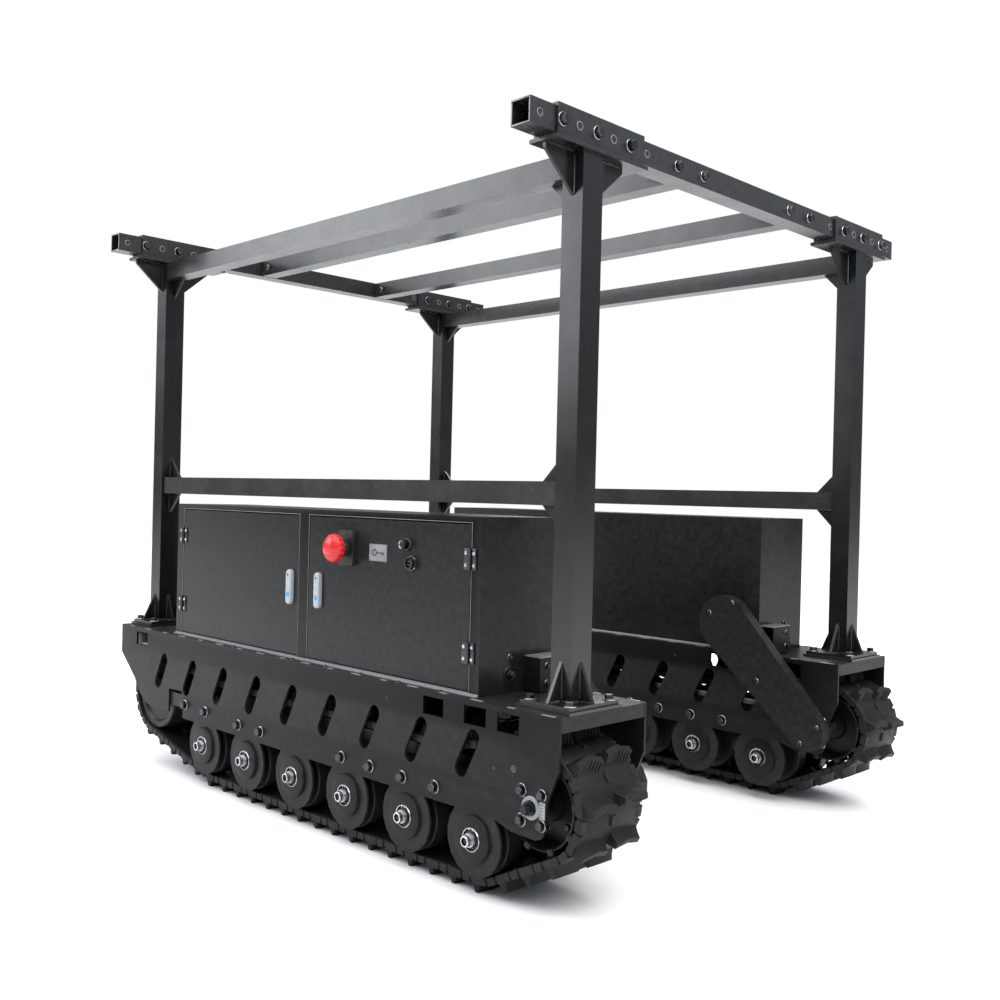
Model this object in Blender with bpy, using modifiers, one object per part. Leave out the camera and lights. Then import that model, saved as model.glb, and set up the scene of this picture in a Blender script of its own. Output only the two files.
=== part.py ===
"""Twin-unit crawler gantry: two powered rubber-track units joined by a raised
square-tube frame.  Metres, +X forward (drive-wheel end), +Y from the right-hand
unit to the left-hand unit, +Z up, ground at z = 0."""
import math
import bpy
import bmesh
from mathutils import Vector, Matrix

for _o in list(bpy.data.objects):
    bpy.data.objects.remove(_o, do_unlink=True)

# ---------------------------------------------------------------- dimensions
GAP = 0.0003                 # running gap between separate pieces

POST_X = 0.853               # post centre, fore and aft
POST_Y = 0.580               # post centre, each side of the centre line
POST_WX, POST_WY = 0.055, 0.062
BASE_T = 0.014               # stacked base plates under each post
POST_TOP = 1.538
SADDLE_T = 0.008             # plate between post top and sleeve

SLEEVE = 0.064               # square gauge sleeve, outside
SLEEVE_WALL = 0.006
SLEEVE_Y0, SLEEVE_Y1 = 0.420, 0.695
TUBE = SLEEVE - 2 * SLEEVE_WALL - 2 * GAP
TUBE_WALL = 0.0035
TUBE_HALF = 0.768            # half length of the cross tubes
TUBE_Z = POST_TOP + SADDLE_T + SLEEVE / 2

RAIL = 0.050                 # longitudinal rail section
RAIL_WALL = 0.003
DECK_RAIL_Y = 0.240
TOP_RAIL_Z = 1.513
MID_RAIL_Z = 0.8445

UNIT_IN, UNIT_OUT = 0.418, 0.692      # faces of a track unit, distance from centre line
PLATE_T = 0.006
DECK_Z = 0.409
UNIT_X0, UNIT_X1 = -0.903, 0.926

WHEEL_R = 0.0805
WHEEL_Z = 0.1210
WHEEL_X0 = -0.3935
WHEEL_PITCH = 0.2175
DRIVE_X, DRIVE_Z, DRIVE_R = 0.856, 0.222, 0.1010
IDLER_X, IDLER_Z, IDLER_R = -0.710, 0.222, 0.1070
BELT_IN, BELT_OUT = 0.488, 0.678      # belt edges, distance from centre line
LOBE_R = 0.0805              # rounded plate lobe at each axle
AXLE_HOLE_R = 0.0135         # clearance hole for a road-wheel axle
BELT_T = 0.018
LUG_PITCH = 0.072
BELT_GAP = 0.0008
LUG_H = WHEEL_Z - WHEEL_R - BELT_GAP - BELT_T     # lugs stand on the ground

CAB_X0, CAB_X1 = -0.612, 0.672
CAB_IN, CAB_OUT = 0.437, 0.667
CAB_TOP = 0.791
CAB_T = 0.003
DOOR_Z0, DOOR_Z1 = 0.417, 0.777
DOOR_R_X0, DOOR_R_X1 = -0.578, 0.007   # rear door opening
DOOR_F_X0, DOOR_F_X1 = 0.049, 0.642    # front door opening
DOOR_T = 0.018
DOOR_GAP = 0.0025
MOTOR_X, MOTOR_Z = 0.585, 0.490
AXLE_R = 0.015

# ---------------------------------------------------------------- collections
COL = bpy.data.collections.new("tracked_tank_chassis")
CUT = bpy.data.collections.new("cutters")
bpy.context.scene.collection.children.link(COL)
bpy.context.scene.collection.children.link(CUT)


def material(name, rgb, rough, metal):
    m = bpy.data.materials.new(name)
    m.use_nodes = True
    b = m.node_tree.nodes["Principled BSDF"]
    b.inputs["Base Color"].default_value = (rgb[0], rgb[1], rgb[2], 1.0)
    b.inputs["Roughness"].default_value = rough
    b.inputs["Metallic"].default_value = metal
    return m


MAT = {}


def give(ob, key, rgb, rough, metal):
    """One material per piece, named after the piece."""
    m = material("m_" + ob.name, rgb, rough, metal)
    ob.data.materials.clear()
    ob.data.materials.append(m)
    return ob


PAINT = ("paint", (0.030, 0.033, 0.037), 0.36, 0.25)
RUBBER = ("rubber", (0.018, 0.019, 0.020), 0.82, 0.0)
STEEL = ("steel", (0.42, 0.43, 0.44), 0.32, 1.0)
DARK = ("dark", (0.045, 0.047, 0.050), 0.45, 0.4)
RED = ("red", (0.62, 0.020, 0.022), 0.34, 0.0)
SILVER = ("silver", (0.66, 0.67, 0.69), 0.30, 0.6)
BLACK = ("black", (0.015, 0.015, 0.016), 0.5, 0.0)


def link(ob, cutter=False):
    (CUT if cutter else COL).objects.link(ob)
    if cutter:
        ob.hide_render = True
        ob.display_type = 'WIRE'
    return ob


def obj_from_bm(name, bm, cutter=False):
    bmesh.ops.recalc_face_normals(bm, faces=bm.faces)
    me = bpy.data.meshes.new(name)
    bm.to_mesh(me)
    bm.free()
    return link(bpy.data.objects.new(name, me), cutter)


def box(name, x0, x1, y0, y1, z0, z1, cutter=False):
    """Axis-aligned block; object origin at its centre."""
    bm = bmesh.new()
    bmesh.ops.create_cube(bm, size=1.0)
    bmesh.ops.scale(bm, verts=bm.verts, vec=(abs(x1 - x0), abs(y1 - y0), abs(z1 - z0)))
    ob = obj_from_bm(name, bm, cutter)
    ob.location = ((x0 + x1) / 2, (y0 + y1) / 2, (z0 + z1) / 2)
    return ob


def prism(name, outer, holes, y0, y1, cutter=False):
    """Flat XZ outline with holes, given thickness from y0 to y1 (filled 2-D curve)."""
    cu = bpy.data.curves.new(name + "_outline", 'CURVE')
    cu.dimensions = '2D'
    cu.fill_mode = 'BOTH'
    cu.extrude = abs(y1 - y0) / 2
    for loop in [outer] + list(holes):
        sp = cu.splines.new('POLY')
        sp.points.add(len(loop) - 1)
        for p, (x, z) in zip(sp.points, loop):
            p.co = (x, z, 0.0, 1.0)
        sp.use_cyclic_u = True
    tmp = bpy.data.objects.new(name + "_tmp", cu)
    bpy.context.scene.collection.objects.link(tmp)
    bpy.context.view_layer.update()
    dg = bpy.context.evaluated_depsgraph_get()
    me = bpy.data.meshes.new_from_object(tmp.evaluated_get(dg))
    bpy.data.objects.remove(tmp, do_unlink=True)
    bpy.data.curves.remove(cu)
    bm = bmesh.new()
    bm.from_mesh(me)
    bpy.data.meshes.remove(me)
    bmesh.ops.remove_doubles(bm, verts=bm.verts, dist=1e-6)
    bmesh.ops.rotate(bm, verts=bm.verts, cent=(0, 0, 0), matrix=Matrix.Rotation(math.pi / 2, 3, 'X'))
    ob = obj_from_bm(name, bm, cutter)
    ob.location = (0, (y0 + y1) / 2, 0)
    return ob


def prism_x(name, outer, x0, x1, cutter=False):
    """Flat YZ outline given thickness from x0 to x1."""
    bm = bmesh.new()
    vs = [bm.verts.new((x0, y, z)) for y, z in outer]
    f = bm.faces.new(vs)
    r = bmesh.ops.extrude_face_region(bm, geom=[f])
    nv = [e for e in r["geom"] if isinstance(e, bmesh.types.BMVert)]
    bmesh.ops.translate(bm, verts=nv, vec=(x1 - x0, 0, 0))
    return obj_from_bm(name, bm, cutter)


def square_tube(name, axis, length, size, wall, centre):
    """Open-ended square tube running along X or Y: a bar with its bore cut out."""
    k = 0 if axis == 'x' else 1

    def bar(nm, across, along, cutter):
        bm = bmesh.new()
        bmesh.ops.create_cube(bm, size=1.0)
        dims = [across, across, across]
        dims[k] = along
        bmesh.ops.scale(bm, verts=bm.verts, vec=dims)
        b = obj_from_bm(nm, bm, cutter)
        b.location = centre
        return b
    ob = bar(name, size, length, False)
    cut(ob, bar(name + "_bore", size - 2 * wall, length + 0.02, True))
    return ob


def lathe(name, profile, steps, side, cutter=False, closed=False):
    """Turned piece.  profile = (radius, distance along axis) listed from the
    outboard end to the inboard end; the axis is turned to lie along Y."""
    bm = bmesh.new()
    vs = [bm.verts.new((r, 0.0, a)) for r, a in profile]
    for a, b in zip(vs[:-1], vs[1:]):
        bm.edges.new((a, b))
    if closed:
        bm.edges.new((vs[-1], vs[0]))
    me = bpy.data.meshes.new(name)
    bm.to_mesh(me)
    bm.free()
    ob = link(bpy.data.objects.new(name, me), cutter)
    m = ob.modifiers.new("turn", 'SCREW')
    m.axis = 'Z'
    m.angle = math.tau
    m.steps = steps
    m.render_steps = steps
    m.use_merge_vertices = True
    m.merge_threshold = 1e-5
    m.use_smooth_shade = True
    # +Z of the profile points outboard
    ob.rotation_euler = (math.pi / 2 if side < 0 else -math.pi / 2, 0, 0)
    return ob


def boolean(target, tool, op):
    m = target.modifiers.new(op.lower() + "_" + tool.name, 'BOOLEAN')
    m.operation = op
    m.solver = 'EXACT'
    m.object = tool
    return m


def fuse(target, *tools):
    for t in tools:
        boolean(target, t, 'UNION')


def cut(target, *tools):
    for t in tools:
        boolean(target, t, 'DIFFERENCE')


def arc(cx, cz, r, a0, a1, n):
    """Points on a circle in the XZ plane, degrees, counter-clockwise if a1 > a0."""
    return [(cx + r * math.cos(math.radians(a0 + (a1 - a0) * i / n)),
             cz + r * math.sin(math.radians(a0 + (a1 - a0) * i / n))) for i in range(n + 1)]


def circle(cx, cz, r, n=16):
    return arc(cx, cz, r, 0, 360, n)[:-1]


def slot(cx, cz, length, width, lean, n=2):
    """Rounded slot leaning forward by `lean` degrees from vertical."""
    h = length / 2 - width / 2
    d = math.radians(lean)
    top = (cx + h * math.sin(d), cz + h * math.cos(d))
    bot = (cx - h * math.sin(d), cz - h * math.cos(d))
    return (arc(top[0], top[1], width / 2, -lean, 180 - lean, n)
            + arc(bot[0], bot[1], width / 2, 180 - lean, 360 - lean, n))


# ---------------------------------------------------------------- upper frame
def cross_tube(name, x):
    t = square_tube(name, 'y', 2 * TUBE_HALF, TUBE, TUBE_WALL, (x, 0, TUBE_Z))
    give(t, *PAINT)
    return t


cross_tube("front_cross_tube", POST_X)
cross_tube("rear_cross_tube", -POST_X)
for side, tag in ((-1, "right"), (1, "left")):
    r = square_tube("deck_rail_" + tag, 'x', 2 * (POST_X - TUBE / 2 - GAP), RAIL, RAIL_WALL,
                    (0, side * DECK_RAIL_Y, TUBE_Z))
    give(r, *PAINT)


# ---------------------------------------------------------------- posts
def post(name, sx, side):
    """Welded post: stacked base plates, square upright, saddle plate, gauge
    sleeve, corner gussets at foot, head and mid rail."""
    x, y = sx * POST_X, side * POST_Y
    z0 = DECK_Z + GAP
    p = box(name, x - POST_WX / 2, x + POST_WX / 2, y - POST_WY / 2, y + POST_WY / 2,
            z0 + 0.004, POST_TOP + 0.004)
    tools = []
    # the foot reaches the end of the deck; behind the rear post that is closer
    end = 0.072 if sx > 0 else 0.049
    fa, fb = sorted((x + sx * end, x - sx * 0.075))
    tools.append(box(name + "_foot1", fa, fb, y - 0.083, y + 0.083, z0, z0 + 0.006, True))
    tools.append(box(name + "_foot2", fa + 0.006, fb - 0.006, y - 0.077, y + 0.077, z0 + 0.0055, z0 + BASE_T, True))
    tools.append(box(name + "_saddle", x - 0.037, x + 0.037, side * (SLEEVE_Y0 - 0.008), side * (SLEEVE_Y1 + 0.008),
                     POST_TOP, POST_TOP + SADDLE_T, True))
    # foot gussets: outboard, inboard, fore and aft faces
    g = 0.0075
    zb = z0 + BASE_T - 0.001
    e = 0.0005
    for s in (-1, 1):
        yf = y + s * (POST_WY / 2 - e)
        tools.append(prism_x(name + "_gy%d" % s, [(yf, zb), (yf + s * 0.040, zb), (yf, zb + 0.082)], x - g / 2, x + g / 2, True))
        xf = x + s * (POST_WX / 2 - e)
        reach = 0.014 if (sx < 0 and s < 0) else 0.036
        tools.append(prism(name + "_gx%d" % s, [(xf, zb), (xf + s * reach, zb), (xf, zb + 0.082)], [], y - g / 2, y + g / 2, True))
    # head gussets under the saddle plate
    for s, reach in ((side, 0.088), (-side, 0.092)):
        yf = y + s * (POST_WY / 2 - e)
        tools.append(prism_x(name + "_gh%d" % s,
                             [(yf, POST_TOP + 0.001), (yf, POST_TOP - 0.090), (yf + s * reach, POST_TOP - 0.012),
                              (yf + s * reach, POST_TOP + 0.001)], x - g / 2, x + g / 2, True))
    # rail gussets on the face that looks along the machine
    xi = x - sx * (POST_WX / 2 - e)
    for k, (za, zc) in enumerate(((MID_RAIL_Z + RAIL / 2 + GAP, 0.060), (MID_RAIL_Z - RAIL / 2 - GAP, -0.060))):
        tools.append(prism(name + "_gr%d" % k, [(xi, za), (xi - sx * 0.060, za), (xi, za + zc)], [], y - g / 2, y + g / 2, True))
    zt = TOP_RAIL_Z - RAIL / 2 - GAP
    tools.append(prism(name + "_gt", [(xi, zt), (xi - sx * 0.055, zt), (xi, zt - 0.055)], [], y - g / 2, y + g / 2, True))
    # gauge sleeve and its square bore
    zs = POST_TOP + SADDLE_T
    sl = box(name + "_sleeve", x - SLEEVE / 2, x + SLEEVE / 2, side * SLEEVE_Y0, side * SLEEVE_Y1, zs - 0.0005, zs + SLEEVE, True)
    tools.append(sl)
    fuse(p, *tools)
    bore = SLEEVE / 2 - SLEEVE_WALL
    cut(p, box(name + "_bore", x - bore, x + bore, side * (SLEEVE_Y0 - 0.05), side * (SLEEVE_Y1 + 0.05),
               TUBE_Z - bore, TUBE_Z + bore, True))
    give(p, *PAINT)
    return p


# ---------------------------------------------------------------- belt path
def tangent(c1, r1, c2, r2):
    """Lower outer tangent points between two circles, c1 behind c2."""
    dx, dz = c2[0] - c1[0], c2[1] - c1[1]
    d = math.hypot(dx, dz)
    base = math.atan2(dz, dx)
    a = base - math.acos((r1 - r2) / d)
    return a


def belt_path(off):
    """Closed line at distance `off` outside the wheel rims, counter-clockwise
    seen from the right-hand side (X right, Z up)."""
    I = (IDLER_X, IDLER_Z); ri = IDLER_R + BELT_GAP + off
    A = (WHEEL_X0, WHEEL_Z); B = (WHEEL_X0 + 5 * WHEEL_PITCH, WHEEL_Z); rw = WHEEL_R + BELT_GAP + off
    D = (DRIVE_X, DRIVE_Z); rd = DRIVE_R + BELT_GAP + off
    a1 = math.degrees(tangent(I, ri, A, rw))
    a2 = math.degrees(tangent(B, rw, D, rd))
    pts = arc(I[0], I[1], ri, 90, 360 + a1, 18)
    pts += arc(A[0], A[1], rw, a1, -90, 4)
    pts += arc(B[0], B[1], rw, -90, a2, 4)
    pts += arc(D[0], D[1], rd, a2, 90, 18)
    # slack top run hangs below the line between the two end wheels
    x0, z0, x1, z1 = D[0], D[1] + rd, I[0], I[1] + ri
    n = 22
    for i in range(1, n):
        u = i / n
        t = min(1.0, min(u, 1 - u) / 0.22)
        s = 0.040 * t * t * (3 - 2 * t)
        pts.append((x0 + (x1 - x0) * u, z0 + (z1 - z0) * u - s))
    return pts


def resample(pts):
    """Cumulative length table of a closed line."""
    cum = [0.0]
    for i in range(len(pts)):
        a, b = pts[i], pts[(i + 1) % len(pts)]
        cum.append(cum[-1] + math.hypot(b[0] - a[0], b[1] - a[1]))
    return cum


def at(pts, cum, s):
    L = cum[-1]
    s = s % L
    for i in range(len(pts)):
        if cum[i + 1] >= s:
            a, b = pts[i], pts[(i + 1) % len(pts)]
            t = (s - cum[i]) / (cum[i + 1] - cum[i])
            dx, dz = b[0] - a[0], b[1] - a[1]
            d = math.hypot(dx, dz)
            return (a[0] + dx * t, a[1] + dz * t), (dz / d, -dx / d)
    return pts[0], (0, 1)


def belt_outline():
    """Outer line of the belt with one cross lug every pitch."""
    pts = belt_path(BELT_T)
    cum = resample(pts)
    n = int(round(cum[-1] / LUG_PITCH))
    step = cum[-1] / n
    out = []
    for k in range(n):
        s = k * step
        for ds, h in ((0.0, 0), (0.006, LUG_H), (0.028, LUG_H), (0.034, 0), (0.053, 0)):
            p, nrm = at(pts, cum, s + ds)
            out.append((p[0] + nrm[0] * h, p[1] + nrm[1] * h))
    low = min(z for _, z in out)
    return [(x, max(z, 0.0)) for x, z in out], low


# ---------------------------------------------------------------- side plates
WHEELS = [WHEEL_X0 + i * WHEEL_PITCH for i in range(6)]


def side_outline():
    """Side plate: straight top, chamfered tail, idler tongue, a round lobe at
    every road-wheel axle, drive tongue."""
    zf = 0.176                       # plate edge between the lobes
    pts = [(UNIT_X0, DECK_Z), (UNIT_X0, 0.324), (-0.816, 0.255)]
    pts += [(-0.795, 0.232), (-0.770, 0.206), (-0.735, 0.187), (-0.700, 0.182), (-0.600, 0.182), (-0.600, 0.250), (-0.530, 0.252),
            (-0.518, 0.242), (-0.518, zf)]
    a = math.degrees(math.asin((zf - WHEEL_Z) / LOBE_R))
    for wx in WHEELS:
        pts += arc(wx, WHEEL_Z, LOBE_R, 180 - a, 360 + a, 14)
    pts += [(0.800, 0.162), (0.868, 0.160), (0.884, 0.166), (0.892, 0.180), (0.897, 0.239), (0.930 - 0.004, 0.305), (UNIT_X1, DECK_Z)]
    return pts[::-1]


SLOT_X = [-0.649 + 0.1646 * i for i in range(9)]


def side_plate(name, y0, y1):
    holes = [slot(x, 0.2953, 0.116, 0.037, 27, 5) for x in SLOT_X]
    for a, b in ((-0.806, -0.737), (0.525, 0.591), (0.656, 0.722), (0.755, 0.817)):
        holes.append([(a, 0.357), (b, 0.357), (b, 0.396), (a, 0.396)])
    holes.append(circle(DRIVE_X, DRIVE_Z, AXLE_R + 0.0015, 14))
    for wx in WHEELS:
        holes.append(circle(wx, WHEEL_Z, AXLE_HOLE_R, 12))
    return prism(name, side_outline(), holes, y0, y1)


def build_unit(side, tag):
    def Y(a):
        return side * a

    # two side plates and the folded deck between them
    o = side_plate(tag + "_outer_plate", Y(UNIT_OUT - PLATE_T), Y(UNIT_OUT))
    give(o, *PAINT)
    i = side_plate(tag + "_inner_plate", Y(UNIT_IN), Y(UNIT_IN + PLATE_T))
    give(i, *PAINT)
    lip = 0.030
    t = PLATE_T
    x0, x1 = UNIT_X0 + 0.0005, UNIT_X1 - 0.0005
    d = prism(tag + "_deck", [(x0, DECK_Z), (x0, DECK_Z - lip), (x0 + t, DECK_Z - lip), (x0 + t, DECK_Z - t),
                              (x1 - t, DECK_Z - t), (x1 - t, DECK_Z - lip), (x1, DECK_Z - lip), (x1, DECK_Z)], [],
              Y(UNIT_IN + PLATE_T + GAP), Y(UNIT_OUT - PLATE_T - GAP))
    give(d, *PAINT)

    # beam that carries the road-wheel axles
    comb = [(-0.463, 0.238), (-0.463, 0.172)]
    for wx in WHEELS:
        comb += [(wx - 0.030, 0.172), (wx - 0.022, 0.1525), (wx + 0.022, 0.1525), (wx + 0.030, 0.172)]
    comb += [(0.732, 0.172), (0.732, 0.238)]
    b = prism(tag + "_axle_beam", comb[::-1], [], Y(0.545), Y(0.620))
    give(b, *DARK)

    # road wheels: two discs on one hub, axle through both plates, a stepped
    # cap on each end outside the plate lobe
    c = (UNIT_IN + UNIT_OUT) / 2
    half = (UNIT_OUT - UNIT_IN) / 2
    do, di = BELT_OUT - c - 0.006, BELT_IN - c + 0.006
    for k, wx in enumerate(WHEELS):
        prof = [(0.0, half + 0.030), (0.010, half + 0.030), (0.012, half + 0.008), (0.049, half + 0.008), (0.050, half + 0.006),
                (0.050, half + 0.0006), (0.0120, half + 0.0006), (0.0120, do + 0.001), (0.034, do + 0.001), (0.036, do - 0.002),
                (WHEEL_R, do - 0.002), (WHEEL_R, do - 0.042), (0.030, do - 0.046), (0.030, di + 0.046), (WHEEL_R, di + 0.042),
                (WHEEL_R, di + 0.002), (0.036, di + 0.002), (0.034, di - 0.001), (0.0120, di - 0.001), (0.0120, -half - 0.0006),
                (0.050, -half - 0.0006), (0.050, -half - 0.006), (0.049, -half - 0.008), (0.012, -half - 0.008), (0.010, -half - 0.030),
                (0.0, -half - 0.030)]
        w = lathe("%s_road_wheel_%d" % (tag, k + 1), prof, 14, side)
        w.location = (wx, Y(c), WHEEL_Z)
        give(w, *DARK)

    # drive wheel with its through axle
    prof = [(0.0, half + 0.026), (AXLE_R - 0.003, half + 0.026), (AXLE_R - 0.003, half + 0.012), (AXLE_R, half + 0.010), (AXLE_R, do),
            (DRIVE_R - 0.012, do), (DRIVE_R, do - 0.010), (DRIVE_R, di + 0.010), (DRIVE_R - 0.012, di), (AXLE_R, di),
            (AXLE_R, -half - 0.024), (0.0, -half - 0.024)]
    w = lathe(tag + "_drive_wheel", prof, 16, side)
    w.location = (DRIVE_X, Y(c), DRIVE_Z)
    give(w, *DARK)

    # idler wheel, bored for its sliding axle
    br = 0.0125
    prof = [(br, do - 0.002), (0.040, do - 0.002), (0.046, do - 0.008), (IDLER_R - 0.022, do - 0.008), (IDLER_R - 0.018, do - 0.002),
            (IDLER_R, do - 0.004), (IDLER_R, di + 0.004), (IDLER_R - 0.018, di + 0.002), (IDLER_R - 0.022, di + 0.008),
            (0.046, di + 0.008), (0.040, di + 0.002), (br, di + 0.002)]
    w = lathe(tag + "_idler_wheel", prof, 16, side, closed=True)
    w.location = (IDLER_X, Y(c), IDLER_Z)
    give(w, *DARK)

    # sliding idler fork: axle, two arms, cross bar
    f = lathe(tag + "_idler_fork", [(0.0, half - 0.0068), (0.0120, half - 0.0068), (0.0120, -half + 0.0068), (0.0, -half + 0.0068)], 16, side)
    f.location = (IDLER_X, Y(c), IDLER_Z)
    az0, az1 = IDLER_Z - 0.019, IDLER_Z + 0.019
    fuse(f,
         box(tag + "_fork_arm_o", IDLER_X - 0.022, -0.515, Y(c + half - 0.0125), Y(c + half - 0.0065), az0, az1, True),
         box(tag + "_fork_arm_i", IDLER_X - 0.022, -0.515, Y(c - half + 0.0065), Y(c - half + 0.0125), az0, az1, True),
         box(tag + "_fork_bar", -0.545, -0.516, Y(c - half + 0.007), Y(c + half - 0.007), az0 + 0.002, az1 - 0.002, True))
    give(f, *STEEL)

    # rubber belt with cross lugs
    outline, _low = belt_outline()
    bl = prism(tag + "_track_belt", outline, [belt_path(0.0)], Y(BELT_IN), Y(BELT_OUT))
    give(bl, *RUBBER)

    # teardrop chain guard on the inner plate, hollow toward the unit
    def tear(off):
        r1, r2 = 0.078 - off, 0.052 - off
        dx, dz = DRIVE_X - MOTOR_X, DRIVE_Z - MOTOR_Z
        dist = math.hypot(dx, dz)
        base = math.degrees(math.atan2(dz, dx))
        a = math.degrees(math.acos((r1 - r2) / dist))
        return (arc(MOTOR_X, MOTOR_Z, r1, base + a, base + 360 - a, 12)
                + arc(DRIVE_X, DRIVE_Z, r2, base - a, base + a, 6))
    gd = prism(tag + "_chain_guard", tear(0.0), [], Y(UNIT_IN - GAP), Y(UNIT_IN - 0.036))
    cut(gd, prism(tag + "_guard_core", tear(0.0025), [], Y(UNIT_IN + 0.01), Y(UNIT_IN - 0.0335), True))
    give(gd, *PAINT)

    # equipment cabinet: folded shell with two door openings and a motor hole
    cb = box(tag + "_cabinet", CAB_X0, CAB_X1, Y(CAB_IN), Y(CAB_OUT), DECK_Z + GAP, CAB_TOP)
    cut(cb,
        box(tag + "_cab_core", CAB_X0 + CAB_T, CAB_X1 - CAB_T, Y(CAB_IN + CAB_T), Y(CAB_OUT - 0.004), DECK_Z + GAP + CAB_T, CAB_TOP - CAB_T, True),
        box(tag + "_cab_open_r", DOOR_R_X0, DOOR_R_X1, Y(CAB_OUT - 0.010), Y(CAB_OUT + 0.010), DOOR_Z0, DOOR_Z1, True),
        box(tag + "_cab_open_f", DOOR_F_X0, DOOR_F_X1, Y(CAB_OUT - 0.010), Y(CAB_OUT + 0.010), DOOR_Z0, DOOR_Z1, True))
    hole = lathe(tag + "_cab_motor_hole", [(0.0, 0.02), (0.016, 0.02), (0.016, -0.02), (0.0, -0.02)], 16, side, cutter=True)
    hole.location = (MOTOR_X, Y(CAB_IN), MOTOR_Z)
    cut(cb, hole)
    give(cb, *PAINT)

    # gear motor: body, flange and output shaft toward the chain guard
    m = lathe(tag + "_gear_motor", [(0.0, 0.170), (0.044, 0.170), (0.048, 0.164), (0.048, 0.060), (0.058, 0.056), (0.058, 0.006),
                                    (0.034, 0.004), (0.034, 0.0), (0.0125, 0.0), (0.0125, -0.050), (0.0, -0.050)], 18, side)
    m.location = (MOTOR_X, Y(CAB_IN + CAB_T + 0.0006), MOTOR_Z)
    give(m, *STEEL)

    # battery pack on the cabinet floor
    bt = box(tag + "_battery", -0.520, -0.060, Y(0.462), Y(0.632), DECK_Z + GAP + CAB_T + 0.0003, 0.655)
    bv = bt.modifiers.new("edge", 'BEVEL')
    bv.width = 0.006
    bv.segments = 1
    give(bt, *BLACK)

    # doors: inset panels, origin on the hinge line
    for nm, xa, xb, hinge in (("rear", DOOR_R_X0, DOOR_R_X1, 'a'), ("front", DOOR_F_X0, DOOR_F_X1, 'b')):
        a0, a1 = xa + DOOR_GAP, xb - DOOR_GAP
        hx = a0 if hinge == 'a' else a1
        bm = bmesh.new()
        bmesh.ops.create_cube(bm, size=1.0)
        bmesh.ops.scale(bm, verts=bm.verts, vec=(a1 - a0, DOOR_T, DOOR_Z1 - DOOR_Z0 - 2 * DOOR_GAP))
        bmesh.ops.translate(bm, verts=bm.verts, vec=((a0 + a1) / 2 - hx, -side * DOOR_T / 2, 0))
        dr = obj_from_bm("%s_door_%s" % (tag, nm), bm)
        dr.location = (hx, Y(CAB_OUT), (DOOR_Z0 + DOOR_Z1) / 2)
        cut(dr, box("%s_door_%s_pan" % (tag, nm), a0 + 0.0025, a1 - 0.0025, Y(CAB_OUT - 0.0025), Y(CAB_OUT - DOOR_T - 0.01),
                    DOOR_Z0 + DOOR_GAP + 0.0025, DOOR_Z1 - DOOR_GAP - 0.0025, True))
        give(dr, *PAINT)
        # swing handle: oblong lever hinged at its upper end
        cx = -0.026 if hinge == 'a' else 0.096
        hb = lathe("%s_handle_%s" % (tag, nm), [(0.0, 0.022), (0.0105, 0.022), (0.013, 0.018), (0.013, 0.0), (0.0, 0.0)], 12, side)
        hb.location = (cx, Y(CAB_OUT + GAP), 0.624)
        pv = bpy.data.objects.new("%s_handle_%s_pivot" % (tag, nm), None)
        pv.location = (cx, Y(CAB_OUT + GAP), 0.637)
        COL.objects.link(pv)
        hb.parent = pv
        hb.location = (0.0, 0.0, 0.624 - 0.637)
        low = lathe("%s_handle_%s_low" % (tag, nm), [(0.0, 0.022), (0.0105, 0.022), (0.013, 0.018), (0.013, 0.0), (0.0, 0.0)], 12, side, cutter=True)
        low.location = (cx, Y(CAB_OUT + GAP), 0.558)
        mid = box("%s_handle_%s_mid" % (tag, nm), cx - 0.0126, cx + 0.0126, Y(CAB_OUT + GAP + 0.0002), Y(CAB_OUT + GAP + 0.0175), 0.558, 0.624, True)
        fuse(hb, low, mid)
        give(hb, *SILVER)

    # posts and side rails
    post(tag + "_post_front", 1, side)
    post(tag + "_post_rear", -1, side)
    ln = 2 * (POST_X - POST_WX / 2 - GAP)
    give(square_tube(tag + "_top_rail", 'x', ln, RAIL, RAIL_WALL, (0, Y(POST_Y + (POST_WY - RAIL) / 2), TOP_RAIL_Z)), *PAINT)
    give(square_tube(tag + "_mid_rail", 'x', ln, RAIL, RAIL_WALL, (0, Y(POST_Y), MID_RAIL_Z)), *PAINT)


for side, tag in ((-1, "right"), (1, "left")):
    build_unit(side, tag)

# ---------------------------------------------------------------- operator controls, right-hand front door
DOOR_FACE = -(CAB_OUT + GAP)
ES_X, ES_Z = 0.214, 0.703
br = box("estop_bracket", ES_X - 0.030, ES_X + 0.030, DOOR_FACE, DOOR_FACE - 0.012, ES_Z - 0.042, ES_Z + 0.042)
stem = lathe("estop_collar", [(0.0, 0.020), (0.017, 0.020), (0.019, 0.017), (0.019, 0.0), (0.0, 0.0)], 16, -1, cutter=True)
stem.location = (ES_X, DOOR_FACE - 0.010, ES_Z)
fuse(br, stem)
bore = lathe("estop_bore", [(0.0, 0.05), (0.0085, 0.05), (0.0085, -0.024), (0.0, -0.024)], 16, -1, cutter=True)
bore.location = (ES_X, DOOR_FACE - 0.030, ES_Z)
cut(br, bore)
give(br, *BLACK)
kn = lathe("estop_knob", [(0.0, 0.066), (0.022, 0.064), (0.031, 0.056), (0.033, 0.048), (0.033, 0.042), (0.008, 0.040), (0.008, 0.016), (0.0, 0.016)], 20, -1)
kn.location = (ES_X, DOOR_FACE, ES_Z)
give(kn, *RED)
ks = lathe("key_switch", [(0.0, 0.020), (0.010, 0.020), (0.0115, 0.017), (0.0115, 0.006), (0.015, 0.005), (0.015, 0.0), (0.0, 0.0)], 16, -1)
ks.location = (0.432, DOOR_FACE, 0.722)
give(ks, *STEEL)
pl = lathe("charge_socket", [(0.0, 0.012), (0.011, 0.014), (0.014, 0.012), (0.018, 0.005), (0.018, 0.0), (0.0, 0.0)], 16, -1)
pl.location = (0.449, DOOR_FACE, 0.680)
give(pl, *BLACK)

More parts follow.
